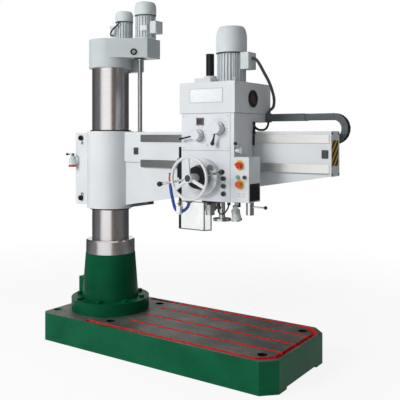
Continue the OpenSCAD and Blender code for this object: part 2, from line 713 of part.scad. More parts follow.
module spindle_gear() color(steel) translate([spindle_x, spindle_y, gear_z]) difference() {
  union() {
    rotate(gear_aim) linear_extrude(gear_h) gear_outline(gear_teeth);
    cylinder(r = 30, h = gear_h + 12);
  }
  translate([0, 0, -over]) cylinder(r = shaft_r + run, h = gear_h + 20);
}
module motor_pinion() color(steel) translate([pinion_at[0], pinion_at[1], gear_z]) {
  rotate(gear_aim + 180 + 180 / pinion_teeth) linear_extrude(gear_h) gear_outline(pinion_teeth);
  cylinder(r = 12, h = cover_top - gap - gear_z);
}

hub_front = head_front - 46 - gap;
feed_hub_len = 40;
feed_hub_r = 62;
lever_tilt = 11;
lever_lean = 23.5;
module feed_handle() color(black) translate([hub_x, 0, hub_z]) difference() {
  union() {
    cyl_y(0, 0, hub_front - feed_hub_len, hub_front, feed_hub_r);
    cyl_y(0, 0, hub_front - over, head_front + 45, 22);
    for (i = [0 : levers_n - 1]) rotate([0, -lever_tilt - 360 * i / levers_n, 0])
      translate([0, hub_front - 8, 0]) rotate([0, 0, -lever_lean]) {
        cyl_x(0, 0, feed_hub_r - 8, lever_reach - 10, 7);
        translate([lever_reach, 0, 0]) sphere(r = ball_r);
      }
  }
  cyl_y(0, 0, hub_front - feed_hub_len - over, head_front + 46, 12 + run);
}

wheel_y = hub_front - feed_hub_len - 66;
rim_r = 9;
module traverse_wheel() color("gainsboro") translate([hub_x, 0, hub_z]) {
  cyl_y(0, 0, wheel_y - 12, head_front + 30, 12);
  cyl_y(0, 0, wheel_y - 14, hub_front - feed_hub_len - gap, 24);
  translate([0, wheel_y, 0]) rotate([90, 0, 0]) rotate_extrude($fn = 96)
    translate([wheel_r - rim_r, 0]) circle(r = rim_r, $fn = 32);
  for (i = [0 : wheel_spokes - 1]) rotate([0, -95 - 360 * i / wheel_spokes, 0])
    translate([18, wheel_y - 5, -9]) cube([wheel_r - rim_r - 20, 10, 18]);
}

// A knob on the panel with a lever from it; reach and angle say where the lever's ball is
module panel_lever(x, z, r, reach, angle, tip) {
  cyl_y(x, z, head_front - 16, head_front - gap, r + 6);
  cyl_y(x, z, head_front - 42, head_front - 16, r);
  cyl_y(x, z, head_front - gap, head_front + 25, 9);
  translate([x, head_front - 30, z]) rotate([0, -angle, 0]) {
    cyl_x(0, 0, r - 3, reach - 4, 4.5);
    translate([reach, 0, 0]) sphere(r = tip);
  }
}
module speed_lever() color(white) panel_lever(front_shafts[0][0], front_shafts[0][1], 27, 112, 191, 9);
module feed_lever() color(white) panel_lever(front_shafts[1][0], front_shafts[1][1], 30, 88, 255, 12);

module head_clamp_lever() color("silver") {
  cyl_x(head_clamp_at[0], head_clamp_at[1], head_right + gap, head_right + 28, 18);
  cyl_x(head_clamp_at[0], head_clamp_at[1], head_right - 22, head_right + 2, 9);
  translate([head_right + 18, head_clamp_at[0], head_clamp_at[1]]) rotate([45, 0, 0]) {
    translate([0, 0, 15]) cylinder(r = 4, h = 35);
    translate([0, 0, 54]) sphere(r = 10);
  }
}

module clutch_lever() color("silver") translate([clutch_at[0], clutch_at[1], 0]) {
  translate([0, 0, box_z[0] - 75]) cylinder(r = 22, h = 75 - gap);
  cyl_x(0, box_z[0] - 29, 20, 92, 4.5);
  translate([98, 0, box_z[0] - 29]) sphere(r = 10);
}

module fine_feed_wheel() color("silver") translate([feed_wheel_at[0], feed_wheel_at[1], 0]) {
  translate([0, 0, head_z - 118]) cylinder(r = 52, h = 14);
  translate([0, 0, head_z - 106]) cylinder(r = 9, h = 130);
  translate([0, 0, head_z - 106]) cylinder(r = 18, h = 106 - gap);
}

module main_switch() color("red") {
  cyl_y(switch_at[0], switch_at[1], box_y[0] - 14, box_y[0] - gap, 18);
  cyl_y(switch_at[0], switch_at[1], box_y[0] - 1, box_y[0] + 9, 7);
  translate([switch_at[0], box_y[0] - 26, switch_at[1]]) rotate([0, 20, 0])
    translate([-19, 0, -5]) cube([38, 13, 10]);
}

module emergency_stop() color("red") {
  cyl_y(stop_at[0], stop_at[1], box_y[0] - 24, box_y[0] - 12, 17);
  cyl_y(stop_at[0], stop_at[1], box_y[0] - 13, box_y[0] + 9, 9);
}

// A push button on the control box
module box_button(at) {
  cyl_y(at[0], at[1], box_y[0] - 9, box_y[0] - 4, 10);
  cyl_y(at[0], at[1], box_y[0] - 5, box_y[0] + 9, 7);
}
module start_button() color("green") box_button(box_buttons[0]);
module stop_button() color(black) box_button(box_buttons[1]);

// A push button on the head's front
module head_button(z) {
  cyl_y(button_x, z, head_front - 12, head_front - 4 - gap, button_r);
  cyl_y(button_x, z, head_front - 5, head_front + 16, button_r - 3 - run);
}
module clamp_button() color(black) head_button(button_z[0]);
module release_button() color(black) head_button(button_z[1]);
module coolant_button() color(black) head_button(button_z[2]);

guard_at = [head_left - 28, head_front + 23];
guard_w = 171;
guard_top = head_z - 10;
guard_post_r = 8;
module guard_post() color(black) {
  translate([guard_at[0], guard_at[1], guard_top - guard_h + 2]) cylinder(r = guard_post_r, h = guard_h + 312);
  for (z = [[34, 66], [124, 236]])
    block([guard_at[0] - 12, guard_at[1] - 13, head_z + z[0]], [head_left, guard_at[1] + 13, head_z + z[1]]);
}
module chuck_guard() color([0.8, 0.85, 0.88, 0.5]) translate([guard_at[0], guard_at[1], guard_top])
  difference() {
    union() {
      block([0, -2.5, -guard_h], [guard_w, 2.5, 0]);
      translate([guard_w, 0, -guard_h]) linear_extrude(guard_h)
        polygon([[-2.5, -2.5], [1.5, -2.5], [22, 38], [18, 40.5]]);
      translate([0, 0, -40]) cylinder(r = guard_post_r + 5, h = 40);
    }
    translate([0, 0, -guard_h - 10]) cylinder(r = guard_post_r + run, h = guard_h + 30);
  }

base_plate();
column_foot();
foot_bolts();
inner_post();
junction_box();
outer_column();
bearing_collar();
column_bearing();
column_cap();
lift_gearbox();
lift_motor();
clamp_motor();
fan_cowls();
terminal_boxes();
clamp_motor_cable();
lift_screw();
arm_casting();
arm_ways();
traverse_rack();
arm_end_plate();
lift_nut();
sleeve_wipers();
clamp_bolts();
oil_pump();
oil_pump_lever();
drag_chain();
chain_tail();
head_casting();
head_cover();
control_box();
feed_hub_cover();
main_motor();
main_motor_cowl();
main_motor_box();
motor_cable();
spindle_tube();
sight_window();
speed_display();
work_lamp();
coolant_pipe();
quill();
spindle();
spindle_gear();
motor_pinion();
feed_handle();
traverse_wheel();
speed_lever();
feed_lever();
head_clamp_lever();
clutch_lever();
fine_feed_wheel();
main_switch();
emergency_stop();
start_button();
stop_button();
clamp_button();
release_button();
coolant_button();
guard_post();
chuck_guard();
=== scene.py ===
"""Radial arm drill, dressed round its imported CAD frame."""
import json
import math

import bmesh
import bpy
from mathutils import Matrix, Vector


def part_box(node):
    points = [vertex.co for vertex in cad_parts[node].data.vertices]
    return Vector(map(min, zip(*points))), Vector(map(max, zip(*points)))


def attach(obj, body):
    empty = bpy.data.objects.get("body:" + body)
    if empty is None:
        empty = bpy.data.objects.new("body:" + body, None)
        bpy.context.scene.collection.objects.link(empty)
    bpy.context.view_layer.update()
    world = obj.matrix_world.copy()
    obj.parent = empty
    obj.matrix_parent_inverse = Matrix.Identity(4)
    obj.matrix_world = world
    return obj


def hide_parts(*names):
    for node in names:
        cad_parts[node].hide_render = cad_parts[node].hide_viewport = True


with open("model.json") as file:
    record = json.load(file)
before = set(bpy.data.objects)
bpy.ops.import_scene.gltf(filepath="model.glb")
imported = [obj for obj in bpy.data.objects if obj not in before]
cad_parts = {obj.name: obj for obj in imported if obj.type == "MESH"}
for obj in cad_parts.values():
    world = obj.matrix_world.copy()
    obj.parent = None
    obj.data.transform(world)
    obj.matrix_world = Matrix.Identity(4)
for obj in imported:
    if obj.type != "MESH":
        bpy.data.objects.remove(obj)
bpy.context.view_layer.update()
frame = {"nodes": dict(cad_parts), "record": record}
mm = 0.001


# Camera: level, on the photograph's side, its horizon above the middle of the picture
def stand_camera():
    """The camera where the photograph's stood, with its view shifted down instead of tilted."""
    data = bpy.data.cameras.new("camera")
    camera = bpy.data.objects.new("camera", data)
    bpy.context.scene.collection.objects.link(camera)
    camera.location = (2.941, -3.213, 1.345)
    camera.rotation_euler = (math.pi / 2, 0, math.radians(34.4))
    data.lens = 56.77
    data.sensor_width = 36
    data.shift_y = -0.1605
    data.clip_end = 60
    bpy.context.scene.camera = camera


stand_camera()


# Shaders
def linear(colour):
    """An sRGB hex colour as the linear values a shader takes."""
    parts = [int(colour[i:i + 2], 16) / 255 for i in (0, 2, 4)]
    return [c / 12.92 if c <= 0.04045 else ((c + 0.055) / 1.055) ** 2.4 for c in parts] + [1]


def add(mat, kind, inputs=(), stops=(), **settings):
    """Adds a node with its settings and links.

    inputs maps a socket to a value or to another node's output; stops are a ramp's places and colours.
    """
    node = mat.node_tree.nodes.new(kind)
    for name, value in settings.items():
        setattr(node, name, value)
    for name, value in dict(inputs).items():
        socket = node.inputs[name]
        if isinstance(value, bpy.types.NodeSocket):
            mat.node_tree.links.new(value, socket)
        else:
            socket.default_value = value
    if stops:
        marks = node.color_ramp.elements
        for _ in stops[2:]:
            marks.new(0.5)
        for mark, (place, colour) in zip(marks, stops):
            mark.position = place
            mark.color = linear(colour)
    return node


def start(name, **values):
    """A material with its shader, and the object's own coordinates."""
    mat = bpy.data.materials.new(name)
    mat.use_nodes = True
    shader = mat.node_tree.nodes["Principled BSDF"]
    for socket, value in values.items():
        shader.inputs[socket.replace("_", " ")].default_value = value
    coords = add(mat, "ShaderNodeTexCoord").outputs["Object"]
    return mat, shader, coords


def join(mat, output, socket):
    """Links an output to a socket of the shader."""
    mat.node_tree.links.new(output, socket)


def mottle(mat, coords, size, stretch=(1, 1, 1), detail=3, roughness=0.5):
    """Uneven marks about size metres across, longer where stretch is above 1, as values from 0 to 1."""
    place = add(mat, "ShaderNodeMapping", {"Vector": coords, "Scale": [1 / (size * s) for s in stretch]})
    grain = add(mat, "ShaderNodeTexNoise", {"Vector": place.outputs["Vector"], "Scale": 1, "Detail": detail,
                                            "Roughness": roughness})
    return grain.outputs["Fac"]


def relief(mat, height, distance, strength, edge):
    """Bump from height, over edges rounded by edge metres."""
    soft = add(mat, "ShaderNodeBevel", {"Radius": edge}, samples=6).outputs["Normal"]
    bump = add(mat, "ShaderNodeBump", {"Height": height, "Distance": distance, "Strength": strength,
                                       "Normal": soft})
    return bump.outputs["Normal"]


def enamel(name, deep, pale, roughness, edge=2.5 * mm, ior=1.45):
    """Machine enamel sprayed on filled iron: near even, with slight orange peel and soft edges."""
    mat, shader, coords = start(name, Roughness=roughness, IOR=ior)
    # clouds as broad as one pass of the spray gun
    cloud = mottle(mat, coords, 260 * mm, detail=4)
    tint = add(mat, "ShaderNodeValToRGB", {"Fac": cloud}, [(0.3, deep), (0.7, pale)]).outputs["Color"]
    join(mat, tint, shader.inputs["Base Color"])
    # real orange peel is about 2 mm across, drawn at 7 mm to show
    peel = mottle(mat, coords, 7 * mm, detail=1)
    join(mat, relief(mat, peel, 0.2 * mm, 0.2, edge), shader.inputs["Normal"])
    return mat


def metal(name, dark, light, roughness, stretch, size, metallic=1.0, edge=1 * mm):
    """Bare metal whose tool marks are size metres wide and drawn out by stretch."""
    mat, shader, coords = start(name, Metallic=metallic)
    # real grinding and turning marks are about 0.1 mm wide, drawn at 1 mm or more to show
    marks = mottle(mat, coords, size, stretch, detail=3, roughness=0.55)
    tint = add(mat, "ShaderNodeValToRGB", {"Fac": marks}, [(0.3, dark), (0.7, light)]).outputs["Color"]
    join(mat, tint, shader.inputs["Base Color"])
    shine = add(mat, "ShaderNodeMapRange", {"Value": marks, "From Min": 0.3, "From Max": 0.7,
                                            "To Min": roughness * 0.92, "To Max": roughness * 1.08})
    join(mat, shine.outputs[0], shader.inputs["Roughness"])
    join(mat, relief(mat, marks, 0.01 * mm, 0.1, edge), shader.inputs["Normal"])
    return mat


def moulding(name, dark, light, roughness, grain=3 * mm, coat=0.0):
    """Moulded plastic or rubber with a fine skin texture."""
    mat, shader, coords = start(name, Roughness=roughness, IOR=1.46, Coat_Weight=coat)
    # a moulded skin's real grain is about 0.3 mm, drawn at 3 mm or more to show
    skin = mottle(mat, coords, grain, detail=2)
    tint = add(mat, "ShaderNodeValToRGB", {"Fac": skin}, [(0.35, dark), (0.65, light)]).outputs["Color"]
    join(mat, tint, shader.inputs["Base Color"])
    join(mat, relief(mat, skin, 0.15 * mm, 0.3, 1 * mm), shader.inputs["Normal"])
    return mat


def base_paint():
    """The base's finish, by place.

    Green enamel brushed on the rough casting gives even, dark sides. The top is scraped iron dulled by oil:
    grey, with fine streaks along the base. The slots and gutters are red primer, brushed on and uneven.
    The low IOR keeps the pale room's reflection from greying the green.
    """
    mat, shader, coords = start("enamelled_iron_base", IOR=1.15)
    part = add(mat, "ShaderNodeSeparateXYZ", {"Vector": coords}).outputs
    normal = add(mat, "ShaderNodeNewGeometry").outputs["Normal"]
    up = add(mat, "ShaderNodeSeparateXYZ", {"Vector": normal}).outputs["Z"]
    wide = add(mat, "ShaderNodeMath", {0: part["Y"]}, operation="ABSOLUTE").outputs[0]
    corner = add(mat, "ShaderNodeMath", {0: part["X"], 1: wide}, operation="ADD").outputs[0]
    top = add(mat, "ShaderNodeMath", {0: part["Z"], 1: (base_top - 0.4) * mm}, operation="GREATER_THAN")
    top = top.outputs[0]
    flat = add(mat, "ShaderNodeMath", {0: up, 1: 0.7}, operation="GREATER_THAN").outputs[0]
    ground = add(mat, "ShaderNodeMath", {0: top, 1: flat}, operation="MULTIPLY").outputs[0]
    # red stays inside the outer edge and the corner chamfers, no deeper than the slots
    red_zone = add(mat, "ShaderNodeMath", {0: part["Z"], 1: (base_top - 40) * mm}, operation="GREATER_THAN")
    red_zone = red_zone.outputs[0]
    edges = ((part["X"], slots_left, "GREATER_THAN"), (part["X"], base_right - 10, "LESS_THAN"),
             (wide, base_half - 14, "LESS_THAN"), (corner, base_corner - 15, "LESS_THAN"))
    for value, limit, side in edges:
        inside = add(mat, "ShaderNodeMath", {0: value, 1: limit * mm}, operation=side).outputs[0]
        red_zone = add(mat, "ShaderNodeMath", {0: red_zone, 1: inside}, operation="MULTIPLY").outputs[0]
    # the sunk seats of the anchor holes are painted near black, as painted shade in the holes: they lie on
    # two rows, short of the gutters
    from_row = add(mat, "ShaderNodeMath", {0: wide, 1: anchor_row * mm}, operation="SUBTRACT").outputs[0]
    from_row = add(mat, "ShaderNodeMath", {0: from_row}, operation="ABSOLUTE").outputs[0]
    seat_shade_mask = add(mat, "ShaderNodeMath", {0: from_row, 1: seat_reach * mm}, operation="LESS_THAN").outputs[0]
    for value, limit in ((corner, base_corner - 98), (part["X"], base_right - 70)):
        inside = add(mat, "ShaderNodeMath", {0: value, 1: limit * mm}, operation="LESS_THAN").outputs[0]
        seat_shade_mask = add(mat, "ShaderNodeMath", {0: seat_shade_mask, 1: inside}, operation="MULTIPLY").outputs[0]
    cloud = mottle(mat, coords, 200 * mm, detail=5, roughness=0.6)
    green = add(mat, "ShaderNodeValToRGB", {"Fac": cloud}, [(0.3, "0A5236"), (0.7, "146443")])
    green = green.outputs["Color"]
    # real brush marks are about 1 mm wide, drawn at 9 mm to show
    brush = mottle(mat, coords, 9 * mm, (1, 1, 3))
    red = add(mat, "ShaderNodeValToRGB", {"Fac": brush}, [(0.3, "B4221F"), (0.7, "DD4038")]).outputs["Color"]
    # real scraper marks are about 1 mm wide, drawn at 4 mm to show, between wiped patches of oil
    scrape = mottle(mat, coords, 4 * mm, (9, 1, 1), detail=4, roughness=0.6)
    oil = mottle(mat, coords, 120 * mm, (1.5, 1, 1), detail=4)
    both = add(mat, "ShaderNodeMath", {0: scrape, 1: oil}, operation="MULTIPLY").outputs[0]
    streaks = [(0.12, "545855"), (0.28, "706F6B"), (0.42, "898681")]
    iron = add(mat, "ShaderNodeValToRGB", {"Fac": both}, streaks).outputs["Color"]
    # painted shade: near black in the anchor holes' sunk seats, red primer elsewhere in the slots and gutters
    primer_or_seat_shade = add(mat, "ShaderNodeMixRGB", {"Fac": seat_shade_mask, "Color1": red, "Color2": linear("1E2623")}).outputs[0]
    painted = add(mat, "ShaderNodeMixRGB", {"Fac": red_zone, "Color1": green, "Color2": primer_or_seat_shade}).outputs[0]
    colour = add(mat, "ShaderNodeMixRGB", {"Fac": ground, "Color1": painted, "Color2": iron}).outputs[0]
    join(mat, colour, shader.inputs["Base Color"])
    bare = add(mat, "ShaderNodeMath", {0: ground, 1: 0.5}, operation="MULTIPLY").outputs[0]
    join(mat, bare, shader.inputs["Metallic"])
    rough = add(mat, "ShaderNodeMapRange", {"Value": ground, "To Min": 0.36, "To Max": 0.5}).outputs[0]
    join(mat, rough, shader.inputs["Roughness"])
    join(mat, relief(mat, scrape, 0.1 * mm, 0.2, 3 * mm), shader.inputs["Normal"])
    return mat


def hazard_paint():
    """Yellow and black warning paint, sprayed through a mask at 45 degrees, 50 mm from stripe to stripe.

    It is dull and a little scuffed, so neither colour is even.
    """
    mat, shader, coords = start("hazard_stripe_paint", Roughness=0.45, IOR=1.45)
    part = add(mat, "ShaderNodeSeparateXYZ", {"Vector": coords}).outputs
    slant = add(mat, "ShaderNodeMath", {0: part["Z"], 1: part["Y"]}, operation="SUBTRACT").outputs[0]
    count = add(mat, "ShaderNodeMath", {0: slant, 1: 1 / (50 * mm)}, operation="MULTIPLY").outputs[0]
    wave = add(mat, "ShaderNodeMath", {0: count}, operation="FRACT").outputs[0]
    step = add(mat, "ShaderNodeMath", {0: wave, 1: 0.55}, operation="GREATER_THAN").outputs[0]
    scuff = mottle(mat, coords, 12 * mm, detail=6, roughness=0.7)
    black = add(mat, "ShaderNodeValToRGB", {"Fac": scuff}, [(0.3, "2A1C12"), (0.75, "43331F")])
    yellow = add(mat, "ShaderNodeValToRGB", {"Fac": scuff}, [(0.3, "C49434"), (0.7, "DDB14A")])
    stripes = add(mat, "ShaderNodeMixRGB", {"Fac": step, "Color1": black.outputs["Color"],
                                            "Color2": yellow.outputs["Color"]}).outputs[0]
    join(mat, stripes, shader.inputs["Base Color"])
    return mat


def clear_guard():
    """Clear extruded polycarbonate sheet, a little grey from swarf and cleaning: a faint haze to the eye.

    Polycarbonate's IOR is 1.58; it is lower here so that the sheet stays as clear as in the photograph.
    """
    mat, shader, coords = start("clear_polycarbonate", IOR=1.2, Roughness=0.08, Transmission_Weight=0.92)
    smear = mottle(mat, coords, 60 * mm, detail=5)
    haze = add(mat, "ShaderNodeValToRGB", {"Fac": smear}, [(0.3, "F0F2F1"), (0.7, "FAFBFB")]).outputs["Color"]
    join(mat, haze, shader.inputs["Base Color"])
    return mat


# Places read from the frame, in mm
def span(node):
    """The low and high corners of a CAD node."""
    low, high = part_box(node)
    return Vector(low) / mm, Vector(high) / mm


def middle(node):
    """The middle of a CAD node's box."""
    low, high = span(node)
    return (low + high) / 2


joints = {joint["name"]: joint for joint in frame["record"]["behaviour"]["joints"]}


def axis_place(joint):
    """Where a joint's axis passes."""
    return Vector(joints[joint]["pos_m"]) / mm


base_high = span("base_plate")[1]
base_top = base_high.z
base_right = base_high.x
base_half = base_high.y
base_chamfer = 78
# the chamfered corners lie on x + |y| = this
base_corner = base_right + base_half - base_chamfer
# the slots and gutters start here, right of the column's foot
slots_left = 85
# the anchor holes stand this far either side of the middle, and their sunk seats reach this far from the row
anchor_row = 250
seat_reach = 32
head_low, head_high = span("head_casting")
front_y = head_low.y
cover_low, cover_high = span("head_cover")
cover_right = cover_high.x
wheel_at = axis_place("wheel_turn")
hub_face = span("feed_hub_cover")[0].y
arm_low, arm_high = span("arm_casting")
plate_low, plate_high = span("arm_end_plate")
way_low, way_high = span("arm_ways")
way_front = way_low.y
cap_high = span("column_cap")[1]
# the small gearbox hangs from the underside of the cap's nose
nose_bottom = span("lift_gearbox")[1].z


finish = {
    # two-pack enamel sprayed on filled and rubbed castings: a pale, even, softly shining grey-white
    "white": enamel("grey_white_enamel", "D5D9DC", "DEE2E5", 0.36),
    # the same enamel a shade darker, on the cap's casting: pale grey with soft cast edges
    "cap": enamel("cap_grey_enamel", "BCC4C6", "C6CED0", 0.36),
    # the same enamel on milled plate: a flatter, brighter front with crisper edges
    "front": enamel("grey_white_panel_enamel", "D6DADF", "E0E4E9", 0.38, 1 * mm),
    # deep green enamel brushed on the column's foot; low IOR, so that its colour isn't greyed by reflections
    "green": enamel("deep_green_enamel", "04462D", "0D5C3A", 0.36, 3 * mm, 1.15),
    # thin enamel sprayed on die-cast motor shells: pale grey that stays crisp on the fins
    "motor": enamel("motor_grey_enamel", "CCD3D5", "D6DCDE", 0.38, 1.5 * mm),
    # the base's green enamel, scraped iron and red primer, described at its function
    "base": base_paint(),
    # steel ground round and round: fine rings that draw a sharp bright band down the column
    "column": metal("ground_column_steel", "CCC8C8", "DAD7D8", 0.25, (30, 30, 1), 1.4 * mm),
    # steel ground along its length: long fine lines and a pale sheen on the ways
    "way": metal("ground_way_steel", "CFCFCD", "D6D6D4", 0.25, (60, 1, 1), 1.2 * mm),
    # lathe-turned steel: rings round the axis, brighter and darker in turn
    "turned": metal("turned_steel", "B4B4B2", "D2D3D4", 0.22, (12, 12, 1), 1.2 * mm),
    # buffed steel on levers and bezels: near mirror, with hardly any marks
    "polished": metal("polished_steel", "CFD1D2", "E4E6E6", 0.16, (8, 8, 1), 1 * mm),
    # steel blackened in hot oil: near black, with a dull metal gleam
    "blued": metal("blackened_steel", "1A1B1D", "2C2E30", 0.42, (1, 1, 1), 3 * mm, metallic=0.6),
    # turned bronze, gone brown: warm and soft in its shine
    "bronze": metal("turned_bronze", "7A5A2E", "A37E43", 0.35, (10, 10, 1), 1.2 * mm),
    # cast aluminium, buffed and lacquered: a pale satin wheel, more white than mirror
    "alloy": metal("polished_cast_alloy", "DCDEE0", "E8EAEB", 0.3, (1, 1, 1), 5 * mm, metallic=0.25),
    # phenolic moulded in polished tools: glossy black balls and buttons
    "plastic": moulding("black_moulded_plastic", "111214", "1E2022", 0.3, coat=0.4),
    # glass-filled nylon, injection moulded: mid grey and satin side plates
    "chain": moulding("nylon_cable_chain", "555D61", "626A6E", 0.5),
    # the same nylon in the chain's cross bars: darker, with a faint sheen
    "chain_dark": moulding("nylon_chain_cover", "262B2E", "30363A", 0.45),
    # pressed and extruded rubber: black and dull
    "rubber": moulding("black_rubber", "131415", "232526", 0.6),
    # PVC drawn over a steel spiral: dark grey and satin
    "conduit": moulding("grey_conduit", "3E4549", "596065", 0.5),
    # gloss moulded ABS: saturated red with a clear highlight
    "red": moulding("red_moulded_plastic", "B8160F", "D62A20", 0.3, coat=0.5),
    # gloss moulded ABS: orange red with a clear highlight
    "orange": moulding("orange_moulded_plastic", "C4401C", "E0602C", 0.34, coat=0.4),
    # moulded ABS discs behind the switches: warm yellow and satin
    "yellow": moulding("yellow_moulded_plate", "DDA820", "F0C238", 0.4),
    # translucent moulded acrylic, unlit: muted green with a gloss
    "teal": moulding("green_moulded_plastic", "4E8F84", "79B3A6", 0.35, coat=0.4),
    # moulded acetal beads: strong blue, waxy gloss
    "blue": moulding("blue_jointed_plastic", "16348C", "2C55B8", 0.38, coat=0.3),
    # blank polycarbonate film on aluminium: near white and matt, hardly uneven
    "label": moulding("blank_printed_panel", "E6E9EC", "F1F3F5", 0.45, grain=8 * mm),
    # moulded ABS in a spark-textured tool: mid grey and satin
    "grey": moulding("grey_moulded_plastic", "5E6669", "7B8386", 0.45),
    # moulded thermoplastic rubber: slate grey and satin
    "slate": moulding("slate_moulded_plastic", "353D41", "444C50", 0.4),
    # screen-printed ink and joint filler, and the painted shade of the lever grooves: thin grey lines, matt
    "ink": moulding("grey_panel_ink", "5F676C", "747C80", 0.6),
    # smoked acrylic, cast and flame polished: near black with a wine tint and a gloss
    "dark_glass": moulding("smoked_display_window", "2A1118", "3C1A22", 0.12, coat=1.0),
    # pressed glass, its brown black the red primer inside with painted shade of the unlit cavity behind it;
    # glossy
    "lens": moulding("dark_sight_lens", "3A2018", "553730", 0.15, grain=25 * mm, coat=1.0),
    # pressed glass over oil: grey and glossy
    "oil": moulding("oil_sight_glass", "8A8E8C", "9EA19E", 0.12, grain=6 * mm, coat=1.0),
    # the arm end's stripes and the chuck guard's sheet, described at their functions
    "hazard": hazard_paint(),
    "clear": clear_guard(),
}
cad_finish = {
    "base": "base_plate",
    "green": "column_foot junction_box foot_bolts",
    "cap": "column_cap lift_gearbox",
    "white": "arm_casting arm_end_plate head_cover feed_hub_cover control_box",
    "front": "head_casting speed_lever feed_lever",
    "motor": "lift_motor clamp_motor fan_cowls terminal_boxes main_motor main_motor_cowl main_motor_box "
             "oil_pump work_lamp",
    "column": "outer_column inner_post bearing_collar",
    "way": "arm_ways traverse_rack",
    "turned": "quill lift_screw spindle_gear motor_pinion fine_feed_wheel",
    "polished": "spindle head_clamp_lever clutch_lever",
    "blued": "clamp_bolts oil_pump_lever spindle_tube guard_post feed_handle",
    "bronze": "column_bearing lift_nut",
    "alloy": "traverse_wheel",
    "plastic": "stop_button clamp_button release_button coolant_button",
    "chain": "drag_chain chain_tail",
    "rubber": "clamp_motor_cable sleeve_wipers",
    "conduit": "motor_cable",
    "red": "main_switch",
    "orange": "emergency_stop",
    "teal": "start_button",
    "blue": "coolant_pipe",
    "dark_glass": "speed_display",
    "lens": "sight_window",
    "clear": "chuck_guard",
}
for key, names in cad_finish.items():
    for name in names.split():
        for spot in frame["nodes"][name].material_slots:
            spot.material = finish[key]


# Mesh helpers, all lengths in mm
def turn_to(direction):
    """The turn that takes z to a direction."""
    return Vector((0, 0, 1)).rotation_difference(Vector(direction)).to_matrix().to_4x4()


def around(place, angle, axis):
    """A turn by angle degrees about an axis through a place."""
    return Matrix.Translation(Vector(place) * mm) @ Matrix.Rotation(math.radians(angle), 4, axis)


def soften(bm, edges, width, segments=2):
    """Rounds edges by width metres."""
    bmesh.ops.bevel(bm, geom=edges, offset=width, segments=segments, profile=0.5, affect="EDGES", material=-1)


def block(bm, low, high, round_by=0.0, turn=None):
    """A box between two corners, its edges rounded, then turned by a matrix about its middle."""
    low, high = Vector(low) * mm, Vector(high) * mm
    centre, size = (low + high) / 2, high - low
    place = Matrix.Translation(centre) @ (turn or Matrix()) @ Matrix.Diagonal((*size, 1))
    made = bmesh.ops.create_cube(bm, size=1, matrix=place)["verts"]
    if round_by:
        soften(bm, list({e for v in made for e in v.link_edges}), round_by * mm)


def rod(bm, a, b, radius, round_by=0.0, sides=32):
    """A round bar between two points."""
    a, b = Vector(a) * mm, Vector(b) * mm
    place = Matrix.Translation((a + b) / 2) @ turn_to((b - a).normalized())
    made = bmesh.ops.create_cone(bm, cap_ends=True, segments=sides, radius1=radius * mm, radius2=radius * mm,
                                 depth=(b - a).length, matrix=place)["verts"]
    if round_by:
        edges = {e for v in made for e in v.link_edges}
        rims = [e for e in edges if any(len(f.verts) > 4 for f in e.link_faces)]
        soften(bm, rims, round_by * mm)


def put_in(bm, part, place, keep=False):
    """Adds a finished bmesh to another at a place, and frees it unless it is kept for another copy."""
    mesh = bpy.data.meshes.new("part")
    part.to_mesh(mesh)
    mesh.transform(place)
    bm.from_mesh(mesh)
    bpy.data.meshes.remove(mesh)
    if not keep:
        part.free()


def turned(bm, profile, centre, direction, sides=48):
    """A profile of (radius, height) spun about an axis through centre."""
    part = bmesh.new()
    points = [part.verts.new((r * mm, 0, h * mm)) for r, h in profile]
    edges = [part.edges.new(pair) for pair in zip(points, points[1:])]
    bmesh.ops.spin(part, geom=points + edges, cent=(0, 0, 0), axis=(0, 0, 1), angle=2 * math.pi, steps=sides,
                   use_merge=True)
    bmesh.ops.remove_doubles(part, verts=part.verts, dist=1e-6)
    put_in(bm, part, Matrix.Translation(Vector(centre) * mm) @ turn_to(direction))


def hose(bm, points, radius, sides=12):
    """A round hose through points."""
    places = [Vector(p) * mm for p in points]
    ring = bmesh.ops.create_circle(bm, cap_ends=False, segments=sides, radius=radius * mm)["verts"]
    last = Vector((0, 0, 1))
    bmesh.ops.translate(bm, verts=ring, vec=places[0])
    at = places[0]
    first = None
    for i, place in enumerate(places):
        ahead = places[min(i + 1, len(places) - 1)] - places[max(i - 1, 0)]
        twist = last.rotation_difference(ahead.normalized()).to_matrix()
        if i:
            edges = list({e for v in ring for e in v.link_edges if all(w in ring for w in e.verts)})
            grown = bmesh.ops.extrude_edge_only(bm, edges=edges)["geom"]
            ring = [g for g in grown if isinstance(g, bmesh.types.BMVert)]
        bmesh.ops.rotate(bm, verts=ring, cent=at, matrix=twist)
        bmesh.ops.translate(bm, verts=ring, vec=place - at)
        at, last = place, ahead.normalized()
        if first is None:
            first = list(ring)
    for end in (first, ring):
        edges = list({e for v in end for e in v.link_edges if all(w in end for w in e.verts)})
        bmesh.ops.contextual_create(bm, geom=edges)


def bend(points, steps):
    """More points on one smooth curve through the given ones."""
    p = [Vector(q) for q in points]
    p = [2 * p[0] - p[1]] + p + [2 * p[-1] - p[-2]]
    out = []
    for i in range(1, len(p) - 2):
        a, b, c, d = p[i - 1:i + 3]
        for s in range(steps):
            t = s / steps
            cubic = (3 * b - a - 3 * c + d) * t ** 3
            out.append(0.5 * (2 * b + (c - a) * t + (2 * a - 5 * b + 4 * c - d) * t * t + cubic))
    return out + [p[-2]]


def plain(name, bm, mat):
    """A mesh object of bm in one material."""
    mesh = bpy.data.meshes.new(name)
    bm.to_mesh(mesh)
    bm.free()
    mesh.materials.append(mat)
    obj = bpy.data.objects.new(name, mesh)
    bpy.context.scene.collection.objects.link(obj)
    return obj


def piece(name, bm, key, body, replaces=()):
    """A finished piece riding on a body."""
    bmesh.ops.recalc_face_normals(bm, faces=bm.faces)
    obj = plain(name, bm, finish[key])
    obj.data.shade_smooth()
    obj.data.set_sharp_from_angle(angle=math.radians(40))
    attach(obj, body)
    if replaces:
        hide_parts(*replaces)


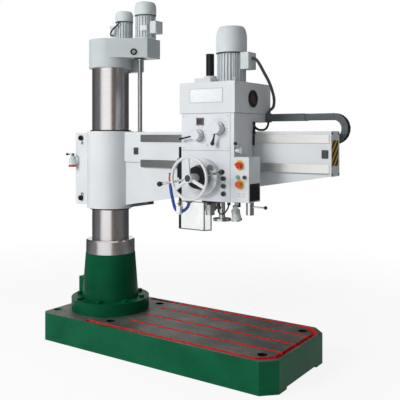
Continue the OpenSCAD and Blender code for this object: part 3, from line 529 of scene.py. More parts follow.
# Stage
def clear_to_camera(mat):
    """1 for rays that should see the white background, 0 for those that light the object."""
    path = add(mat, "ShaderNodeLightPath").outputs
    seen = path["Is Camera Ray"]
    for ray in ("Is Transmission Ray", "Is Glossy Ray"):
        seen = add(mat, "ShaderNodeMath", {0: seen, 1: path[ray]}, operation="MAXIMUM").outputs[0]
    return seen


def lay_floor():
    """A plain pale floor that keeps the object's shadow."""
    bm = bmesh.new()
    bmesh.ops.create_grid(bm, x_segments=1, y_segments=1, size=14)
    mat = bpy.data.materials.new("pale_floor")
    mat.use_nodes = True
    nodes = mat.node_tree.nodes
    shader = nodes["Principled BSDF"]
    shader.inputs["Base Color"].default_value = linear("F4F4F4")
    shader.inputs["Roughness"].default_value = 0.9
    # most of the floor's light is its own white, all of it far out: a faint shadow is left, and no horizon
    place = add(mat, "ShaderNodeTexCoord").outputs["Object"]
    far = add(mat, "ShaderNodeVectorMath", {0: place}, operation="LENGTH").outputs["Value"]
    own = add(mat, "ShaderNodeMapRange", {"Value": far, "From Min": 1.5, "From Max": 4,
                                          "To Min": 0.88, "To Max": 1}).outputs[0]
    seen = clear_to_camera(mat)
    share = add(mat, "ShaderNodeMath", {0: seen, 1: own}, operation="MULTIPLY").outputs[0]
    glow = add(mat, "ShaderNodeEmission", {"Strength": 1.0}).outputs[0]
    mixed = add(mat, "ShaderNodeMixShader", {0: share, 1: shader.outputs[0], 2: glow}).outputs[0]
    join(mat, mixed, nodes["Material Output"].inputs["Surface"])
    plain("floor", bm, mat)


def raise_flags():
    """Grey cloth walls and aprons, seen by reflections only, that give round metal its dark flanks."""
    bm = bmesh.new()
    # the profile's radius and height in metres: an apron on the floor, then the wall
    profile = ((2, 0.01), (3.5, 0.01), (3.5, 5))
    for first, last in ((-43, 113), (153, 250)):
        a = math.radians(first)
        points = [bm.verts.new((r * math.cos(a), r * math.sin(a), z)) for r, z in profile]
        edges = [bm.edges.new(pair) for pair in zip(points, points[1:])]
        bmesh.ops.spin(bm, geom=points + edges, cent=(0, 0, 0), axis=(0, 0, 1),
                       angle=math.radians(last - first), steps=24)
    mat = bpy.data.materials.new("grey_flag_cloth")
    mat.use_nodes = True
    place = add(mat, "ShaderNodeTexCoord").outputs["Object"]
    part = add(mat, "ShaderNodeSeparateXYZ", {"Vector": place}).outputs
    # azimuth from -pi to pi over the ramp's 0 to 1
    turn = add(mat, "ShaderNodeMath", {0: part["Y"], 1: part["X"]}, operation="ARCTAN2").outputs[0]
    share = add(mat, "ShaderNodeMapRange", {"Value": turn, "From Min": -math.pi, "From Max": math.pi})
    shades = [(0.0, "4C4D4E"), (0.09, "74777A"), (0.19, "74777A"), (0.36, "6A625A"), (0.45, "6A625A"),
              (0.5, "6C6E70"), (0.58, "6C6E70"), (0.62, "4C4D4E")]
    grey = add(mat, "ShaderNodeValToRGB", {"Fac": share.outputs[0]}, shades).outputs["Color"]
    glow = add(mat, "ShaderNodeEmission", {"Color": grey, "Strength": 1.0}).outputs[0]
    join(mat, glow, mat.node_tree.nodes["Material Output"].inputs["Surface"])
    flags = plain("flags", bm, mat)
    for ray in ("camera", "diffuse", "transmission", "volume_scatter", "shadow"):
        setattr(flags, "visible_" + ray, False)


def light_room():
    """A plain level of light: a soft world, a key lamp from the left and a softbox for reflections."""
    world = bpy.context.scene.world or bpy.data.worlds.new("world")
    bpy.context.scene.world = world
    world.use_nodes = True
    back = world.node_tree.nodes["Background"]
    seen = clear_to_camera(world)
    strength = add(world, "ShaderNodeMapRange", {"Value": seen, "To Min": 0.3, "To Max": 1.0})
    back.inputs["Color"].default_value = (1, 1, 1, 1)
    join(world, strength.outputs[0], back.inputs["Strength"])
    # each lamp's name, place, aim, size in metres and watts
    lamps = (("key", (-1.3, -5.0, 3.4), (0.6, 0, 1.2), (2.4, 2.4), 238),
             ("softbox", (1.45, -4.22, 1.6), (1.1, 0.0, 1.6), (4.4, 3.2), 15))
    for name, at, aim, size, power in lamps:
        lamp = bpy.data.lights.new(name, "AREA")
        lamp.shape = "RECTANGLE"
        lamp.size, lamp.size_y = size
        lamp.energy = power
        obj = bpy.data.objects.new(name, lamp)
        bpy.context.scene.collection.objects.link(obj)
        obj.location = at
        obj.rotation_euler = (Vector(aim) - Vector(at)).to_track_quat("-Z", "Y").to_euler()
        obj.visible_camera = False
    # the key gives the light and the softbox the reflections, so that bright metal is not burnt out
    bpy.data.objects["key"].visible_glossy = False
    bpy.data.objects["softbox"].visible_diffuse = False
    bpy.context.scene.view_settings.view_transform = "Standard"


lay_floor()
raise_flags()
light_room()


# Arm
def mark_arm_end():
    """The warning stripes on the arm's end plate, and the four screws at its corners."""
    face = plate_high.x
    bm = bmesh.new()
    low = (face - 0.3, plate_low.y + 8, plate_low.z + 57)
    high = (face + 1, plate_high.y - 20, plate_high.z - 49)
    block(bm, low, high)
    piece("hazard_band", bm, "hazard", "arm")
    bm = bmesh.new()
    screw = [(2.6, 0), (2.6, 2), (5.6, 2.6), (6, 2), (6, 0)]
    for y in (plate_low.y + 9, plate_high.y - 9):
        for z in (plate_low.z + 12, plate_high.z - 12):
            turned(bm, screw, (face - 0.5, y, z), (1, 0, 0), 20)
    piece("end_plate_screws", bm, "blued", "arm")


def stop_the_head():
    """A rubber block at each end of the arm's face, with two ribs, that the head meets last."""
    bm = bmesh.new()
    z = way_low.z + 103
    for x in (way_low.x - 42, way_high.x - 25):
        block(bm, (x - 19, way_front + 1, z - 23), (x + 19, way_front + 9, z + 23), 3)
        for side in (-9, 9):
            block(bm, (x - 14, way_front - 1, z + side - 3), (x + 14, way_front + 3, z + side + 3), 1.5)
    piece("way_stops", bm, "slate", "arm")


def cover_web():
    """The dark cover on the web's lower edge, where its lift screw passes; it slopes as the edge does."""
    x, y = middle("lift_screw").xy
    z = arm_low.z + 21.5
    slope = Matrix.Rotation(math.radians(-9.4), 4, "Y")
    bm = bmesh.new()
    block(bm, (x - 21, y - 75, z), (x + 134, y - 17, z + 20), 1.5, slope)
    piece("web_cover", bm, "slate", "arm")


def grease_sleeve():
    """Two pairs of grease nipples on the sleeve's clamping lugs."""
    x, y = arm_low.x + 68, arm_low.y + 126
    bm = bmesh.new()
    for z in (arm_high.z - 76, arm_high.z - 86, arm_low.z + 84, arm_low.z + 74):
        rod(bm, (x, y, z), (x, y - 12, z), 5, 1, 16)
    piece("grease_nipples", bm, "turned", "arm")


def band_pump():
    """The red seal round the foot of the oil pump's glass, which stands 24 mm in from the pump's corner."""
    low = span("oil_pump")[0]
    ring = [(23.6, low.z - 0.4), (25.4, low.z + 1), (25.4, low.z + 14), (23.6, low.z + 15)]
    bm = bmesh.new()
    turned(bm, ring, (low.x + 24, low.y + 24, 0), (0, 0, 1), 40)
    piece("pump_seal", bm, "red", "arm")


# Column
# the oil glass sits on the slanted front of the cap's nose
glass_at = (cap_high.x - 74.3, cap_high.y - 187.9, cap_high.z - 92)
glass_faces = (0.565, -0.825, 0)


def glaze_oil_level():
    """The oil glass, and its black ring with a cross of two bars."""
    bm = bmesh.new()
    turned(bm, [(0, 3), (12, 3), (13, 2)], glass_at, glass_faces)
    piece("oil_glass", bm, "oil", "column")
    bm = bmesh.new()
    turned(bm, [(13, 0), (13, 6), (16, 8), (20, 7), (22, 4), (22, -1)], glass_at, glass_faces)
    face = Matrix.Translation(Vector(glass_at) * mm) @ turn_to(glass_faces)
    for low, high in (((-12, -0.8, 2.8), (12, 0.8, 3.4)), ((-0.8, -12, 2.8), (0.8, 12, 3.4))):
        part = bmesh.new()
        block(part, low, high)
        put_in(bm, part, face)
    piece("oil_glass_ring", bm, "blued", "column")


def cap_motors():
    """Each cap motor as x, y, frame radius, foot height and top of its frame."""
    found = []
    for node in ("lift_motor", "clamp_motor"):
        low, high = span(node)
        centre = middle(node)
        found.append((centre.x, centre.y, (high.x - low.x) / 2, low.z, high.z))
    return found


def tie_motors():
    """A dark seam under each fan cowl, and four tie rods with lugs at the foot."""
    seams = bmesh.new()
    ties = bmesh.new()
    for x, y, r, foot, top in cap_motors():
        seam = [(r + 1, top - 6), (r + 3.6, top - 5), (r + 3.6, top - 2), (r + 1, top - 1)]
        turned(seams, seam, (x, y, 0), (0, 0, 1), 64)
        for i in range(4):
            part = bmesh.new()
            block(part, (r - 6, -6, foot + 16), (r + 3, 6, foot + 30), 1.5)
            rod(part, (r - 1, 0, foot + 8), (r - 1, 0, foot + 17), 4.4, 0.6, 6)
            rod(part, (r - 1, 0, foot + 28), (r - 1, 0, top - 8), 2.6, 0, 10)
            put_in(ties, part, around((x, y, 0), 45 + 90 * i, "Z"))
    piece("motor_seams", seams, "blued", "column")
    piece("motor_tie_rods", ties, "motor", "column")


def plate_lift_motor():
    """A blank rating plate on the lift motor's side."""
    x, y, r, foot, _ = cap_motors()[0]
    bm = bmesh.new()
    part = bmesh.new()
    block(part, (r + 1.2, -24, foot + 52), (r + 2.4, 24, foot + 88), 0.5)
    put_in(bm, part, around((x, y, 0), -62, "Z"))
    piece("blank_rating_plate", bm, "label", "column")


def screw_lid(bm, low, high, face):
    """A box lid on the face "x+", "x-", "y+" or "y-" of a terminal box, held by four screws."""
    low, high = Vector(low), Vector(high)
    axis = "xy".index(face[0])
    out = 1 if face[1] == "+" else -1
    at = high[axis] if out > 0 else low[axis]
    across = 1 - axis
    lid_low, lid_high = low.copy(), high.copy()
    lid_low[axis], lid_high[axis] = sorted((at - 0.5 * out, at + 2 * out))
    block(bm, lid_low, lid_high, 0.9)
    way = Vector((0, 0, 0))
    way[axis] = out
    for u in (low[across] + 7, high[across] - 7):
        for z in (low.z + 7, high.z - 7):
            place = Vector((0, 0, z))
            place[axis] = at + 1.6 * out
            place[across] = u
            rod(bm, place, place + way * 2, 3, 0.6, 12)


def lid_cap_boxes():
    """Lids on the outer and front faces of the cap motors' terminal boxes."""
    lift, clamp = cap_motors()
    # each box's reach in x from its motor's axis, half its width in y, and its height over the motor's foot
    boxes = ((lift, (68.5, 116.5), 36, (32, 114), "x+"),
             (clamp, (-99.5, -57.5), 34, (40, 112), "x-"))
    bm = bmesh.new()
    for (x, y, _, foot, _), reach, half, rise, outer in boxes:
        low = (x + reach[0], y - half, foot + rise[0])
        high = (x + reach[1], y + half, foot + rise[1])
        for face in (outer, "y-"):
            screw_lid(bm, low, high, face)
    piece("terminal_box_lids", bm, "motor", "column")


def seal_screw():
    """The dark seal plate round the screw under the cap's nose."""
    x, y = middle("lift_screw").xy
    z = nose_bottom
    plate = [(26.5, z + 0.4), (26.5, z - 3), (42, z - 3), (44, z - 1.5), (44, z + 0.4)]
    bm = bmesh.new()
    turned(bm, plate, (x, y, 0), (0, 0, 1))
    piece("screw_seal", bm, "blued", "column")


def cut_screw():
    """The lift screw with its thread: a few turns are spun, then doubled until they fill the length."""
    low, high = span("lift_screw")
    x, y = middle("lift_screw").xy
    # the lead is in mm, and each turn has steps sides
    lead, steps, turns, doublings = 6, 24, 21, 3
    bm = bmesh.new()
    # the tooth's radius and height over one lead, from root to crest and back
    profile = [(13, -3), (13.2, -2.4), (16, -1.5), (16, 1.5), (13.2, 2.4), (13, 3)]
    points = [bm.verts.new((r * mm, 0, h * mm)) for r, h in profile]
    edges = [bm.edges.new(pair) for pair in zip(points, points[1:])]
    bmesh.ops.spin(bm, geom=points + edges, cent=(0, 0, 0), axis=(0, 0, 1), dvec=(0, 0, lead * mm / steps),
                   angle=2 * math.pi * turns, steps=steps * turns)
    for _ in range(doublings):
        new = bmesh.ops.duplicate(bm, geom=bm.verts[:] + bm.edges[:] + bm.faces[:])["geom"]
        copied = [g for g in new if isinstance(g, bmesh.types.BMVert)]
        bmesh.ops.translate(bm, verts=copied, vec=(0, 0, turns * lead * mm))
        turns *= 2
    bmesh.ops.remove_doubles(bm, verts=bm.verts, dist=1e-6)
    bmesh.ops.translate(bm, verts=bm.verts, vec=(x * mm, y * mm, (low.z + 8) * mm))
    rod(bm, (x, y, low.z), (x, y, high.z), 13.4, 0.5, 32)
    rod(bm, (x, y, nose_bottom - 12), (x, y, nose_bottom - 0.5), 25, 1)
    piece("threaded_screw", bm, "turned", "lift_screw", ["lift_screw"])


# Cable chain
chain_low, chain_high = span("drag_chain")
# the bend's outer radius, half a link's height, and the radius of the middle line
chain_bend = (chain_high.z - chain_low.z) / 2
chain_half = 19.5
chain_middle = chain_bend - chain_half
# the bend's centre, and where the upper run starts inside its channel
chain_x = chain_high.x - chain_bend
chain_z = chain_low.z + chain_bend
chain_top_x = span("chain_tail")[0].x + 44.7


def chain_place(s):
    """Where the chain's middle line is s mm from its upper left end, as (x, z, angle)."""
    upper, arc = chain_x - chain_top_x, math.pi * chain_middle
    if s < upper:
        return chain_top_x + s, chain_z + chain_middle, 0.0
    if s < upper + arc:
        angle = (s - upper) / chain_middle
        return chain_x + chain_middle * math.sin(angle), chain_z + chain_middle * math.cos(angle), angle
    return chain_x - (s - upper - arc), chain_z - chain_middle, math.pi


def chain_link(pitch, inset, cover):
    """One link: two side plates pinned together, or its dark bars across."""
    wall = 3.4
    half = chain_half - 0.3
    link = bmesh.new()
    for y, out in ((chain_low.y, 1), (chain_high.y - wall, -1)):
        y += inset * out
        if not cover:
            block(link, (-0.72 * pitch, y, -half), (0.72 * pitch, y + wall, half), 2.2)
            rod(link, (-pitch / 2, y - 0.5, 0), (-pitch / 2, y + wall + 0.5, 0), 5.5, 0, 12)
    if cover:
        for z in (-chain_half + 0.6, chain_half - 3.8):
            block(link, (-0.46 * pitch, chain_low.y + 4, z), (0.46 * pitch, chain_high.y - 4, z + 3.2), 1)
    return link


def link_chain():
    """Sixty links along both runs and the bend, every second one set inwards."""
    length = (chain_x - chain_top_x) + math.pi * chain_middle + (chain_x - chain_low.x)
    count = 60
    pitch = length / count
    sides = bmesh.new()
    bars = bmesh.new()
    kinds = [(sides, chain_link(pitch, 0.6, False)), (sides, chain_link(pitch, 1.6, False)),
             (bars, chain_link(pitch, 0, True))]
    for i in range(count):
        x, z, a = chain_place((i + 0.5) * pitch)
        place = Matrix.Translation(Vector((x, 0, z)) * mm) @ Matrix.Rotation(a, 4, "Y")
        for target, link in (kinds[i % 2], kinds[2]):
            put_in(target, link, place, keep=True)
    for _, link in kinds:
        link.free()
    piece("chain_links", sides, "chain", "chain", ["drag_chain"])
    piece("chain_bars", bars, "chain_dark", "chain")


def fill_chain():
    """Three cables that follow the chain's two runs, and its bend a little inside the middle line."""
    bm = bmesh.new()
    width = chain_high.y - chain_low.y
    cable_radius = 4.5
    radius = chain_middle - 4
    for part in (0.28, 0.5, 0.72):
        y = chain_low.y + width * part
        points = [(chain_top_x + 4, y, chain_z + radius)]
        for i in range(13):
            angle = math.pi * i / 12
            points.append((chain_x + radius * math.sin(angle), y, chain_z + radius * math.cos(angle)))
        points.append((chain_low.x + 4, y, chain_z - radius))
        hose(bm, points, cable_radius, 10)
    piece("chain_cables", bm, "rubber", "chain")


mark_arm_end()
stop_the_head()
cover_web()
grease_sleeve()
band_pump()
glaze_oil_level()
tie_motors()
plate_lift_motor()
lid_cap_boxes()
seal_screw()
cut_screw()
link_chain()
fill_chain()


# Head front
def on_front(x, z, angle=0):
    """A place on the head's front face, turned by angle degrees, for parts drawn flat on y = 0."""
    return around((x, front_y, z), angle, "Y")


def cut_seams():
    """The dark joints between the head's front plates, and beside the control box."""
    seam_z = head_low.z + 285
    seam_x = head_high.x - 27
    box_top = span("control_box")[1].z
    side = head_high.x
    top = head_high.z - 2
    bm = bmesh.new()
    block(bm, (head_low.x + 1, front_y - 0.5, seam_z), (seam_x + 1, front_y + 0.5, seam_z + 1.6))
    block(bm, (seam_x, front_y - 0.5, head_low.z + 2), (seam_x + 1.6, front_y + 0.5, top))
    block(bm, (side + 0.2, front_y - 0.5, box_top - 0.5), (side + 1, front_y + 1, top))
    piece("panel_seams", bm, "ink", "head")


def shade_cover_joint():
    """A thin dark strip between the head and its top cover: the painted shadow line under the cover's lower
    edge.
    """
    z = head_high.z
    bm = bmesh.new()
    # painted shadow: a black rubber strip where the cover's edge casts its shade
    block(bm, (head_low.x, front_y - 0.6, z - 0.8), (cover_right, front_y + 0.4, z + 1))
    block(bm, (cover_right - 0.4, front_y, z - 0.8), (cover_right + 0.6, head_high.y, z + 1))
    piece("cover_shadow_line", bm, "rubber", "head")


def hang_nameplate():
    """A blank nameplate on the top cover, with a thin border."""
    low = Vector((cover_low.x + 74, front_y - 1.2, cover_low.z + 108))
    high = Vector((cover_high.x - 78, front_y + 0.5, cover_high.z - 82))
    bm = bmesh.new()
    block(bm, low, high, 0.6)
    piece("blank_nameplate", bm, "label", "head")
    bm = bmesh.new()
    line = 1.4
    sides = ((low.x, low.z, high.x, low.z + line), (low.x, high.z - line, high.x, high.z),
             (low.x, low.z, low.x + line, high.z), (high.x - line, low.z, high.x, high.z))
    for left, bottom, right, top in sides:
        block(bm, (left, low.y - 0.3, bottom), (right, low.y + 0.2, top))
    piece("nameplate_border", bm, "ink", "head")


def mark_dials():
    """Plain marks round the two panel levers, long and short in turn."""
    # each dial's joint, inner radius, first and last angle, and number of marks
    dials = (("speed_select", 47, -30, 210, 9), ("feed_select", 50, -40, 220, 14))
    bm = bmesh.new()
    for joint, r, first, last, count in dials:
        at = axis_place(joint)
        for i in range(count):
            angle = first + (last - first) * i / (count - 1)
            part = bmesh.new()
            block(part, (r, -0.6, -1), (r + (6 if i % 2 else 9), 0.3, 1))
            put_in(bm, part, on_front(at.x, at.z, -angle))
    piece("dial_marks", bm, "ink", "head")


def shade_lever_grooves():
    """Grey rings round the feet of the two panel levers: the painted shade of a groove at each lever's foot.
    """
    bm = bmesh.new()
    for joint, r in (("speed_select", 34), ("feed_select", 37)):
        at = axis_place(joint)
        # painted shade: a grey ring, just proud of the face, where a groove's shade would fall
        ring = [(r, 0.3), (r, -1.2), (r + 1.6, -1.2), (r + 1.6, 0.3)]
        turned(bm, ring, (at.x, front_y, at.z), (0, 1, 0))
    piece("lever_groove_shade", bm, "ink", "head")


def frame_display():
    """A raised frame round the speed display."""
    low, high = span("speed_display")
    y0, y1 = low.y - 1.2, front_y + 0.4
    wide = 6
    bm = bmesh.new()
    block(bm, (low.x - wide, y0, low.z - wide), (high.x + wide, y1, low.z), 0.8)
    block(bm, (low.x - wide, y0, high.z), (high.x + wide, y1, high.z + wide), 0.8)
    block(bm, (low.x - wide, y0, low.z - wide), (low.x, y1, high.z + wide), 0.8)
    block(bm, (high.x, y0, low.z - wide), (high.x + wide, y1, high.z + wide), 0.8)
    piece("display_frame", bm, "grey", "head")


def ring_buttons():
    """A bright bezel round each of the five push buttons."""
    bm = bmesh.new()
    for name, wide in (("clamp_button", 3.2), ("release_button", 3.2), ("coolant_button", 3.2),
                       ("start_button", 3.6), ("stop_button", 3.6)):
        low, high = span(name)
        at = middle(name)
        r = (high.x - low.x) / 2 + 0.4
        ring = [(r, -0.4), (r + wide, -0.4), (r + wide, 2), (r + wide - 1.4, 3.2), (r, 3.2), (r, -0.4)]
        turned(bm, ring, (at.x, front_y, at.z), (0, -1, 0), 40)
    piece("button_bezels", bm, "polished", "head")


def pin_front():
    """Two plugs and four screws on the front panel."""
    plugs = [(head_low.x + 223, head_low.z + 324, 5), (head_low.x + 180, head_low.z + 314, 5)]
    left, right = head_low.x + 16, head_high.x - 41
    screws = [(x, z, 3.4) for z in (head_high.z - 16, head_low.z + 300) for x in (left, right)]
    bm = bmesh.new()
    for x, z, r in plugs + screws:
        turned(bm, [(0, 2.4), (r - 1, 2.4), (r, 1.6), (r, -0.4)], (x, front_y, z), (0, -1, 0), 20)
    piece("panel_screws", bm, "polished", "head")


def plate_switches():
    """Round yellow plates behind the main switch and the emergency stop."""
    bm = bmesh.new()
    for name, inner, outer in (("main_switch", 20, 29), ("emergency_stop", 9.6, 26)):
        at = middle(name)
        ring = [(inner, -0.3), (outer, -0.3), (outer, 1.2), (inner, 1.2), (inner, -0.3)]
        turned(bm, ring, (at.x, front_y, at.z), (0, -1, 0))
    piece("yellow_plates", bm, "yellow", "head")


def plug_hub():
    """The grey plug at the upper right of the feed hub's cover."""
    bm = bmesh.new()
    plug = [(0, 4), (13, 4), (15, 2.5), (15, -0.5)]
    turned(bm, plug, (wheel_at.x + 64, hub_face, wheel_at.z + 58), (0, -1, 0))
    piece("hub_plug", bm, "grey", "head")


def ring_window():
    """A thick black ring round the sight window; the dark lens sits inside it."""
    at = middle("sight_window")
    bm = bmesh.new()
    ring = [(33, 3), (33, 8), (36, 11), (46, 10), (50, 6), (50, -2)]
    turned(bm, ring, (cover_right, at.y, at.z), (1, 0, 0), 64)
    piece("window_ring", bm, "plastic", "head")


def boss_motor():
    """The round boss between the main motor and its terminal box, and the box's lid."""
    low, high = span("main_motor_box")
    y, z = (low.y + high.y) / 2, low.z + 40
    bm = bmesh.new()
    rod(bm, (low.x - 4, y, z), (low.x + 12, y, z), 24, 2)
    screw_lid(bm, low, high, "x+")
    piece("main_box_lid", bm, "motor", "head")


def seam_motor():
    """A dark seam under the fan cowl, tie rods and lugs on the main motor."""
    low, high = span("main_motor")
    x, y = middle("main_motor").xy
    r = (high.x - low.x) / 2
    seam = [(r + 0.5, high.z - 6), (r + 4.4, high.z - 5), (r + 4.4, high.z - 1), (r + 0.5, high.z)]
    bm = bmesh.new()
    turned(bm, seam, (x, y, 0), (0, 0, 1), 64)
    piece("main_motor_seam", bm, "blued", "head")
    bm = bmesh.new()
    for angle in (-135, -45, 135):
        part = bmesh.new()
        block(part, (r - 8, -7, low.z + 18), (r + 3, 7, low.z + 34), 1.5)
        rod(part, (r - 2, 0, low.z + 34), (r - 2, 0, high.z - 8), 3, 0, 10)
        rod(part, (r - 2, 0, low.z + 9), (r - 2, 0, low.z + 19), 5, 0.6, 6)
        put_in(bm, part, around((x, y, 0), angle, "Z"))
    piece("main_motor_rods", bm, "motor", "head")


# Control box and the arm side of the head
def vent_box():
    """The vent on the control box's side: a dark plate with eleven slats, 8 mm apart."""
    low, high = span("control_box")
    slat = Matrix.Rotation(math.radians(18), 4, "Y")
    bm = bmesh.new()
    block(bm, (high.x - 0.5, low.y + 8, low.z + 6), (high.x + 2, high.y - 9, low.z + 102), 1)
    for i in range(11):
        z = low.z + 13 + 8 * i
        block(bm, (high.x + 1, low.y + 14, z), (high.x + 4.4, high.y - 15, z + 3.4), 0.6, slat)
    piece("box_vent", bm, "rubber", "head")


def line_box():
    """Four plain lines on the control box's front, under its lower buttons."""
    low = span("control_box")[0]
    bm = bmesh.new()
    for z in (low.z + 32, low.z + 45):
        block(bm, (low.x + 15, front_y - 0.5, z), (low.x + 40, front_y + 0.2, z + 1.4))
        block(bm, (low.x + 49, front_y - 0.5, z), (low.x + 73, front_y + 0.2, z + 1.4))
    piece("box_marks", bm, "ink", "head")


def wipe_way():
    """The rubber wiper where the upper way leaves the head, and the bar that holds the loop lead."""
    x, y, z = head_high.x, way_front, way_high.z
    bm = bmesh.new()
    block(bm, (x + 0.3, y - 6, z - 62), (x + 12, y, z - 2), 2)
    block(bm, (x + 0.3, y - 6, z + 1), (x + 16, y + 5.5, z + 28), 3)
    block(bm, (x + 2, y - 4, z + 26), (x + 14, y + 8, z + 74), 1)
    piece("way_wiper", bm, "rubber", "head")


def loop_wiper_lead():
    """The lead that hangs from the wiper's bar to the channel of the cable chain."""
    bar = Vector((head_high.x + 15, way_front, way_high.z))
    steps = [(-3, 6, 44), (0, 18, 35), (0, 40, 29), (0, 75, 27), (0, 110, 29), (0, 138, 39), (0, 156, 56),
             (0, 162, 73.6)]
    lead_radius = 6.5
    bm = bmesh.new()
    hose(bm, bend([bar + Vector(step) for step in steps], 5), lead_radius)
    piece("loop_lead", bm, "rubber", "head")


# Levers and handles
def rod_feed_levers():
    """Bright rods with black balls; they lean to the front and are tilted in the handle's plane."""
    hub = Vector((wheel_at.x, hub_face - 8.3, wheel_at.z))
    lean, tilt = math.radians(23.5), math.radians(11)
    # the balls' distance from the hub along the rods, and their radius
    reach, ball = 232, 15.7
    rods = bmesh.new()
    balls = bmesh.new()
    for side in (1, -1):
        out = Vector((side * math.cos(tilt), 0, side * math.sin(tilt)))
        way = (out * math.cos(lean) + Vector((0, -math.sin(lean), 0))).normalized()
        rod(rods, hub + way * 56, hub + way * (reach - 10), 7.3, 0.6, 24)
        neck = [(7.4, reach - 18), (9.5, reach - 18), (10.5, reach - 12)]
        for degrees in range(-45, 90, 15):
            t = math.radians(degrees)
            neck.append((ball * math.cos(t), reach + ball * math.sin(t)))
        turned(balls, neck + [(0, reach + ball)], hub, way, 32)
    piece("feed_lever_rods", rods, "turned", "feed_handle")
    piece("feed_lever_balls", balls, "plastic", "feed_handle")


def dress_panel_lever(name, joint, reach, angle, tip, hub):
    """A lever arm from its hub's radius out to reach at angle degrees, and the ball of radius tip on it."""
    at = Vector((axis_place(joint).x, front_y - 30, axis_place(joint).z))
    way = Vector((math.cos(math.radians(angle)), 0, math.sin(math.radians(angle))))
    bm = bmesh.new()
    rod(bm, at + way * (hub - 2), at + way * (reach - tip), 4.7, 0.4, 20)
    piece(name + "_arm", bm, "blued", name)
    bm = bmesh.new()
    # the ball stands just over the CAD one
    ball = tip * 1.03
    profile = [(5.2, reach - tip * 2.1), (6.5, reach - tip * 2)]
    for degrees in range(-50, 90, 14):
        t = math.radians(degrees)
        profile.append((ball * math.cos(t), reach + ball * math.sin(t)))
    turned(bm, profile + [(0, reach + ball)], at, way, 28)
    piece(name + "_ball", bm, "plastic", name)


def cap_wheel():
    """The cap and nut on the traverse wheel's hub."""
    x, y, z = wheel_at.x, span("traverse_wheel")[0].y, wheel_at.z
    bm = bmesh.new()
    cap = [(0, -4), (16, -4), (19, -2.4), (20, 0.6), (20, 3.6)]
    turned(bm, cap, (x, y + 1.4, z), (0, 1, 0), 32)
    rod(bm, (x, y - 2, z), (x, y - 6, z), 8, 0.8, 6)
    piece("wheel_nut", bm, "slate", "traverse_wheel")


def graduate_dial():
    """The grey dial behind the feed hub, with sixty raised marks."""
    face = hub_face - 0.6
    rim = [(60, face), (68, face), (69, face - 1), (69, face - 6), (67, face - 8), (60, face - 8), (60, face)]
    bm = bmesh.new()
    turned(bm, rim, (wheel_at.x, 0, wheel_at.z), (0, 1, 0), 64)
    mark = bmesh.new()
    block(mark, (67.6, face - 7.6, -0.5), (69.7, face - 2, 0.5))
    for i in range(60):
        put_in(bm, mark, around((wheel_at.x, 0, wheel_at.z), 6 * i, "Y"), keep=True)
    mark.free()
    piece("feed_dial", bm, "grey", "feed_handle")


def ball_levers():
    """Black balls over the ends of the two bright levers."""
    radius = 10
    low, high = span("clutch_lever")
    clutch_end = (high.x - radius, (low.y + high.y) / 2, low.z + 46)
    low, high = span("head_clamp_lever")
    clamp_end = (high.x - radius, low.y + radius, high.z - radius)
    ends = (("clutch_ball", "clutch_lever", clutch_end), ("clamp_ball", "head_clamp_lever", clamp_end))
    for name, body, at in ends:
        bm = bmesh.new()
        place = Matrix.Translation(Vector(at) * mm)
        bmesh.ops.create_uvsphere(bm, u_segments=28, v_segments=18, radius=(radius + 0.4) * mm, matrix=place)
        piece(name, bm, "plastic", body)


# Underside
def frame_guard():
    """The grey frame round the clear guard, which turns back at its right edge."""
    low, high = span("chuck_guard")
    x0, x1 = low.x + 18, high.x - 22
    y0, y1 = low.y + 9, low.y + 16
    corner, turned_in = (high.x - 23, low.y + 13), (high.x - 1.5, high.y - 2)
    bm = bmesh.new()
    block(bm, (x0 - 13, y0, low.z), (x0, y1, high.z), 1)
    block(bm, (x0, y0, low.z), (x1, y1, low.z + 6), 1)
    block(bm, (x0, y0, high.z - 5), (x1, y1, high.z), 1)
    for x, y in (corner, turned_in):
        rod(bm, (x, y, low.z), (x, y, high.z), 4, 0.5, 12)
    for z in (low.z + 3, high.z - 3):
        rod(bm, (*corner, z), (*turned_in, z), 3.2, 0, 12)
    piece("guard_frame", bm, "grey", "chuck_guard")


# the coolant pipe's root under the head's front left corner, and its route from there
pipe_root = Vector((head_low.x + 46, front_y + 9, head_low.z))
pipe_steps = [(0, 0, 0), (0, -1, -16), (-3, -10, -42), (-20, -26, -63), (-40, -36, -70), (-56, -43, -64),
              (-70, -48, -40), (-83, -50, 9), (-94, -50, 54), (-98, -50, 94), (-100, -50, 124)]


def joint_pipe():
    """The pipe's ball joints, 14 mm apart along its route."""
    line = bend([pipe_root + Vector(step) for step in pipe_steps], 12)
    bead = [(7.6, -6), (8.8, -5.4), (9.9, -2), (9.9, 2), (8.6, 5.4), (7.6, 6)]
    bm = bmesh.new()
    run = 0
    for a, b in zip(line, line[1:]):
        run += (b - a).length
        if run > 13 and b.z < head_low.z + 112:
            run = 0
            turned(bm, bead, b, (b - a).normalized(), 20)
    piece("pipe_joints", bm, "blue", "head")


def tip_pipe():
    """The orange nozzle at the pipe's end."""
    top = span("coolant_pipe")[1].z
    nozzle = [(8.6, top - 46), (9.8, top - 42), (9.4, top - 26), (7, top - 8), (5.2, top + 0.3),
              (0, top + 0.4)]
    bm = bmesh.new()
    turned(bm, nozzle, (pipe_root.x - 100, pipe_root.y - 49.6, 0), (0, 0, 1), 24)
    piece("pipe_nozzle", bm, "orange", "head")


def tap_pipe():
    """The white valve on the pipe's lowest bend, its bronze tap, and the bronze union at the pipe's root."""
    valve = pipe_root + Vector((-39, -40, -34))
    bm = bmesh.new()
    block(bm, valve + Vector((-14, -16, -49)), valve + Vector((14, 16, 0)), 3)
    piece("pipe_valve", bm, "label", "head")
    bm = bmesh.new()
    rod(bm, valve, valve + Vector((0, 0, 10)), 7, 1, 24)
    block(bm, valve + Vector((-17, -3, 8)), valve + Vector((17, 3, 13)), 1.4)
    union = pipe_root - Vector((0, 0, 10))
    rod(bm, union - Vector((14, 0, 0)), union + Vector((14, 0, 0)), 11, 1, 24)
    piece("pipe_tap", bm, "bronze", "head")


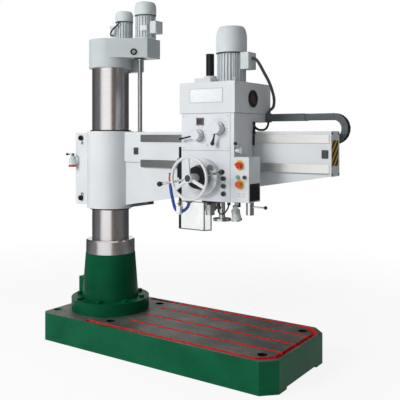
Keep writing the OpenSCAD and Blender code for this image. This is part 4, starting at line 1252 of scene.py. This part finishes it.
def collar_quill():
    """The dark collar that the quill comes down through."""
    x, y = middle("quill").xy
    z = head_low.z
    collar = [(37.6, z + 0.5), (48, z + 0.5), (48, z - 22), (45, z - 24), (37.6, z - 24), (37.6, z + 0.5)]
    bm = bmesh.new()
    turned(bm, collar, (x, y, 0), (0, 0, 1))
    piece("quill_collar", bm, "blued", "head")


def hang_brackets():
    """Dark stubs and plates under the head, and the hose between two of them."""
    corner = Vector((head_low.x, front_y, head_low.z + 0.3))
    bm = bmesh.new()
    # each stub's place from the corner, its drop and its radius
    for x, y, drop, radius in ((175, 23, 24, 12), (240, 20, 30, 11), (298, 40, 20, 10), (272, 185, 46, 14)):
        top = corner + Vector((x, y, 0))
        rod(bm, top, top - Vector((0, 0, drop)), radius, 2, 24)
    block(bm, corner + Vector((226, 9, -44)), corner + Vector((254, 31, -28)), 3)
    block(bm, corner + Vector((186, 9, -7)), corner + Vector((272, 37, 0)), 1.5)
    piece("underside_brackets", bm, "plastic", "head")
    elbow = corner + Vector((240, 20, -42))
    steps = [(0, 0, 0), (1, 1, -18), (14, 9, -30), (34, 17, -20), (50, 21, 4), (57, 20, 26)]
    hose_radius = 4.5
    bm = bmesh.new()
    hose(bm, bend([elbow + Vector(step) for step in steps], 5), hose_radius, 10)
    piece("underside_hose", bm, "rubber", "head")


def rim_lamp():
    """A rim, cooling ribs and a frosted bulb on the work lamp."""
    low = span("work_lamp")[0]
    tilt = around((middle("work_lamp").x, low.y + 15, head_low.z - 30), 14, "X")
    bm = bmesh.new()
    turned(bm, [(28.6, -82), (31.2, -82), (31.6, -79), (30.6, -76), (29.4, -76)], (0, 0, 0), (0, 0, 1))
    for z in (-42, -34, -26):
        r = 26.5 + z / 20
        turned(bm, [(20, z), (r, z), (r, z + 2.4), (20, z + 2.4)], (0, 0, 0), (0, 0, 1))
    bm.transform(tilt)
    piece("lamp_ribs", bm, "polished", "head")
    bm = bmesh.new()
    turned(bm, [(0, -82.4), (14, -82), (24, -81), (28.8, -79.5), (28.8, -78)], (0, 0, 0), (0, 0, 1))
    bm.transform(tilt)
    piece("lamp_glass", bm, "label", "head")


cut_seams()
shade_cover_joint()
hang_nameplate()
mark_dials()
shade_lever_grooves()
frame_display()
ring_buttons()
pin_front()
plate_switches()
plug_hub()
ring_window()
boss_motor()
seam_motor()
vent_box()
line_box()
wipe_way()
loop_wiper_lead()
rod_feed_levers()
dress_panel_lever("speed_lever", "speed_select", 112, 191, 9, 27)
dress_panel_lever("feed_lever", "feed_select", 88, 255, 12, 30)
cap_wheel()
graduate_dial()
ball_levers()
frame_guard()
joint_pipe()
tip_pipe()
tap_pipe()
collar_quill()
hang_brackets()
rim_lamp()
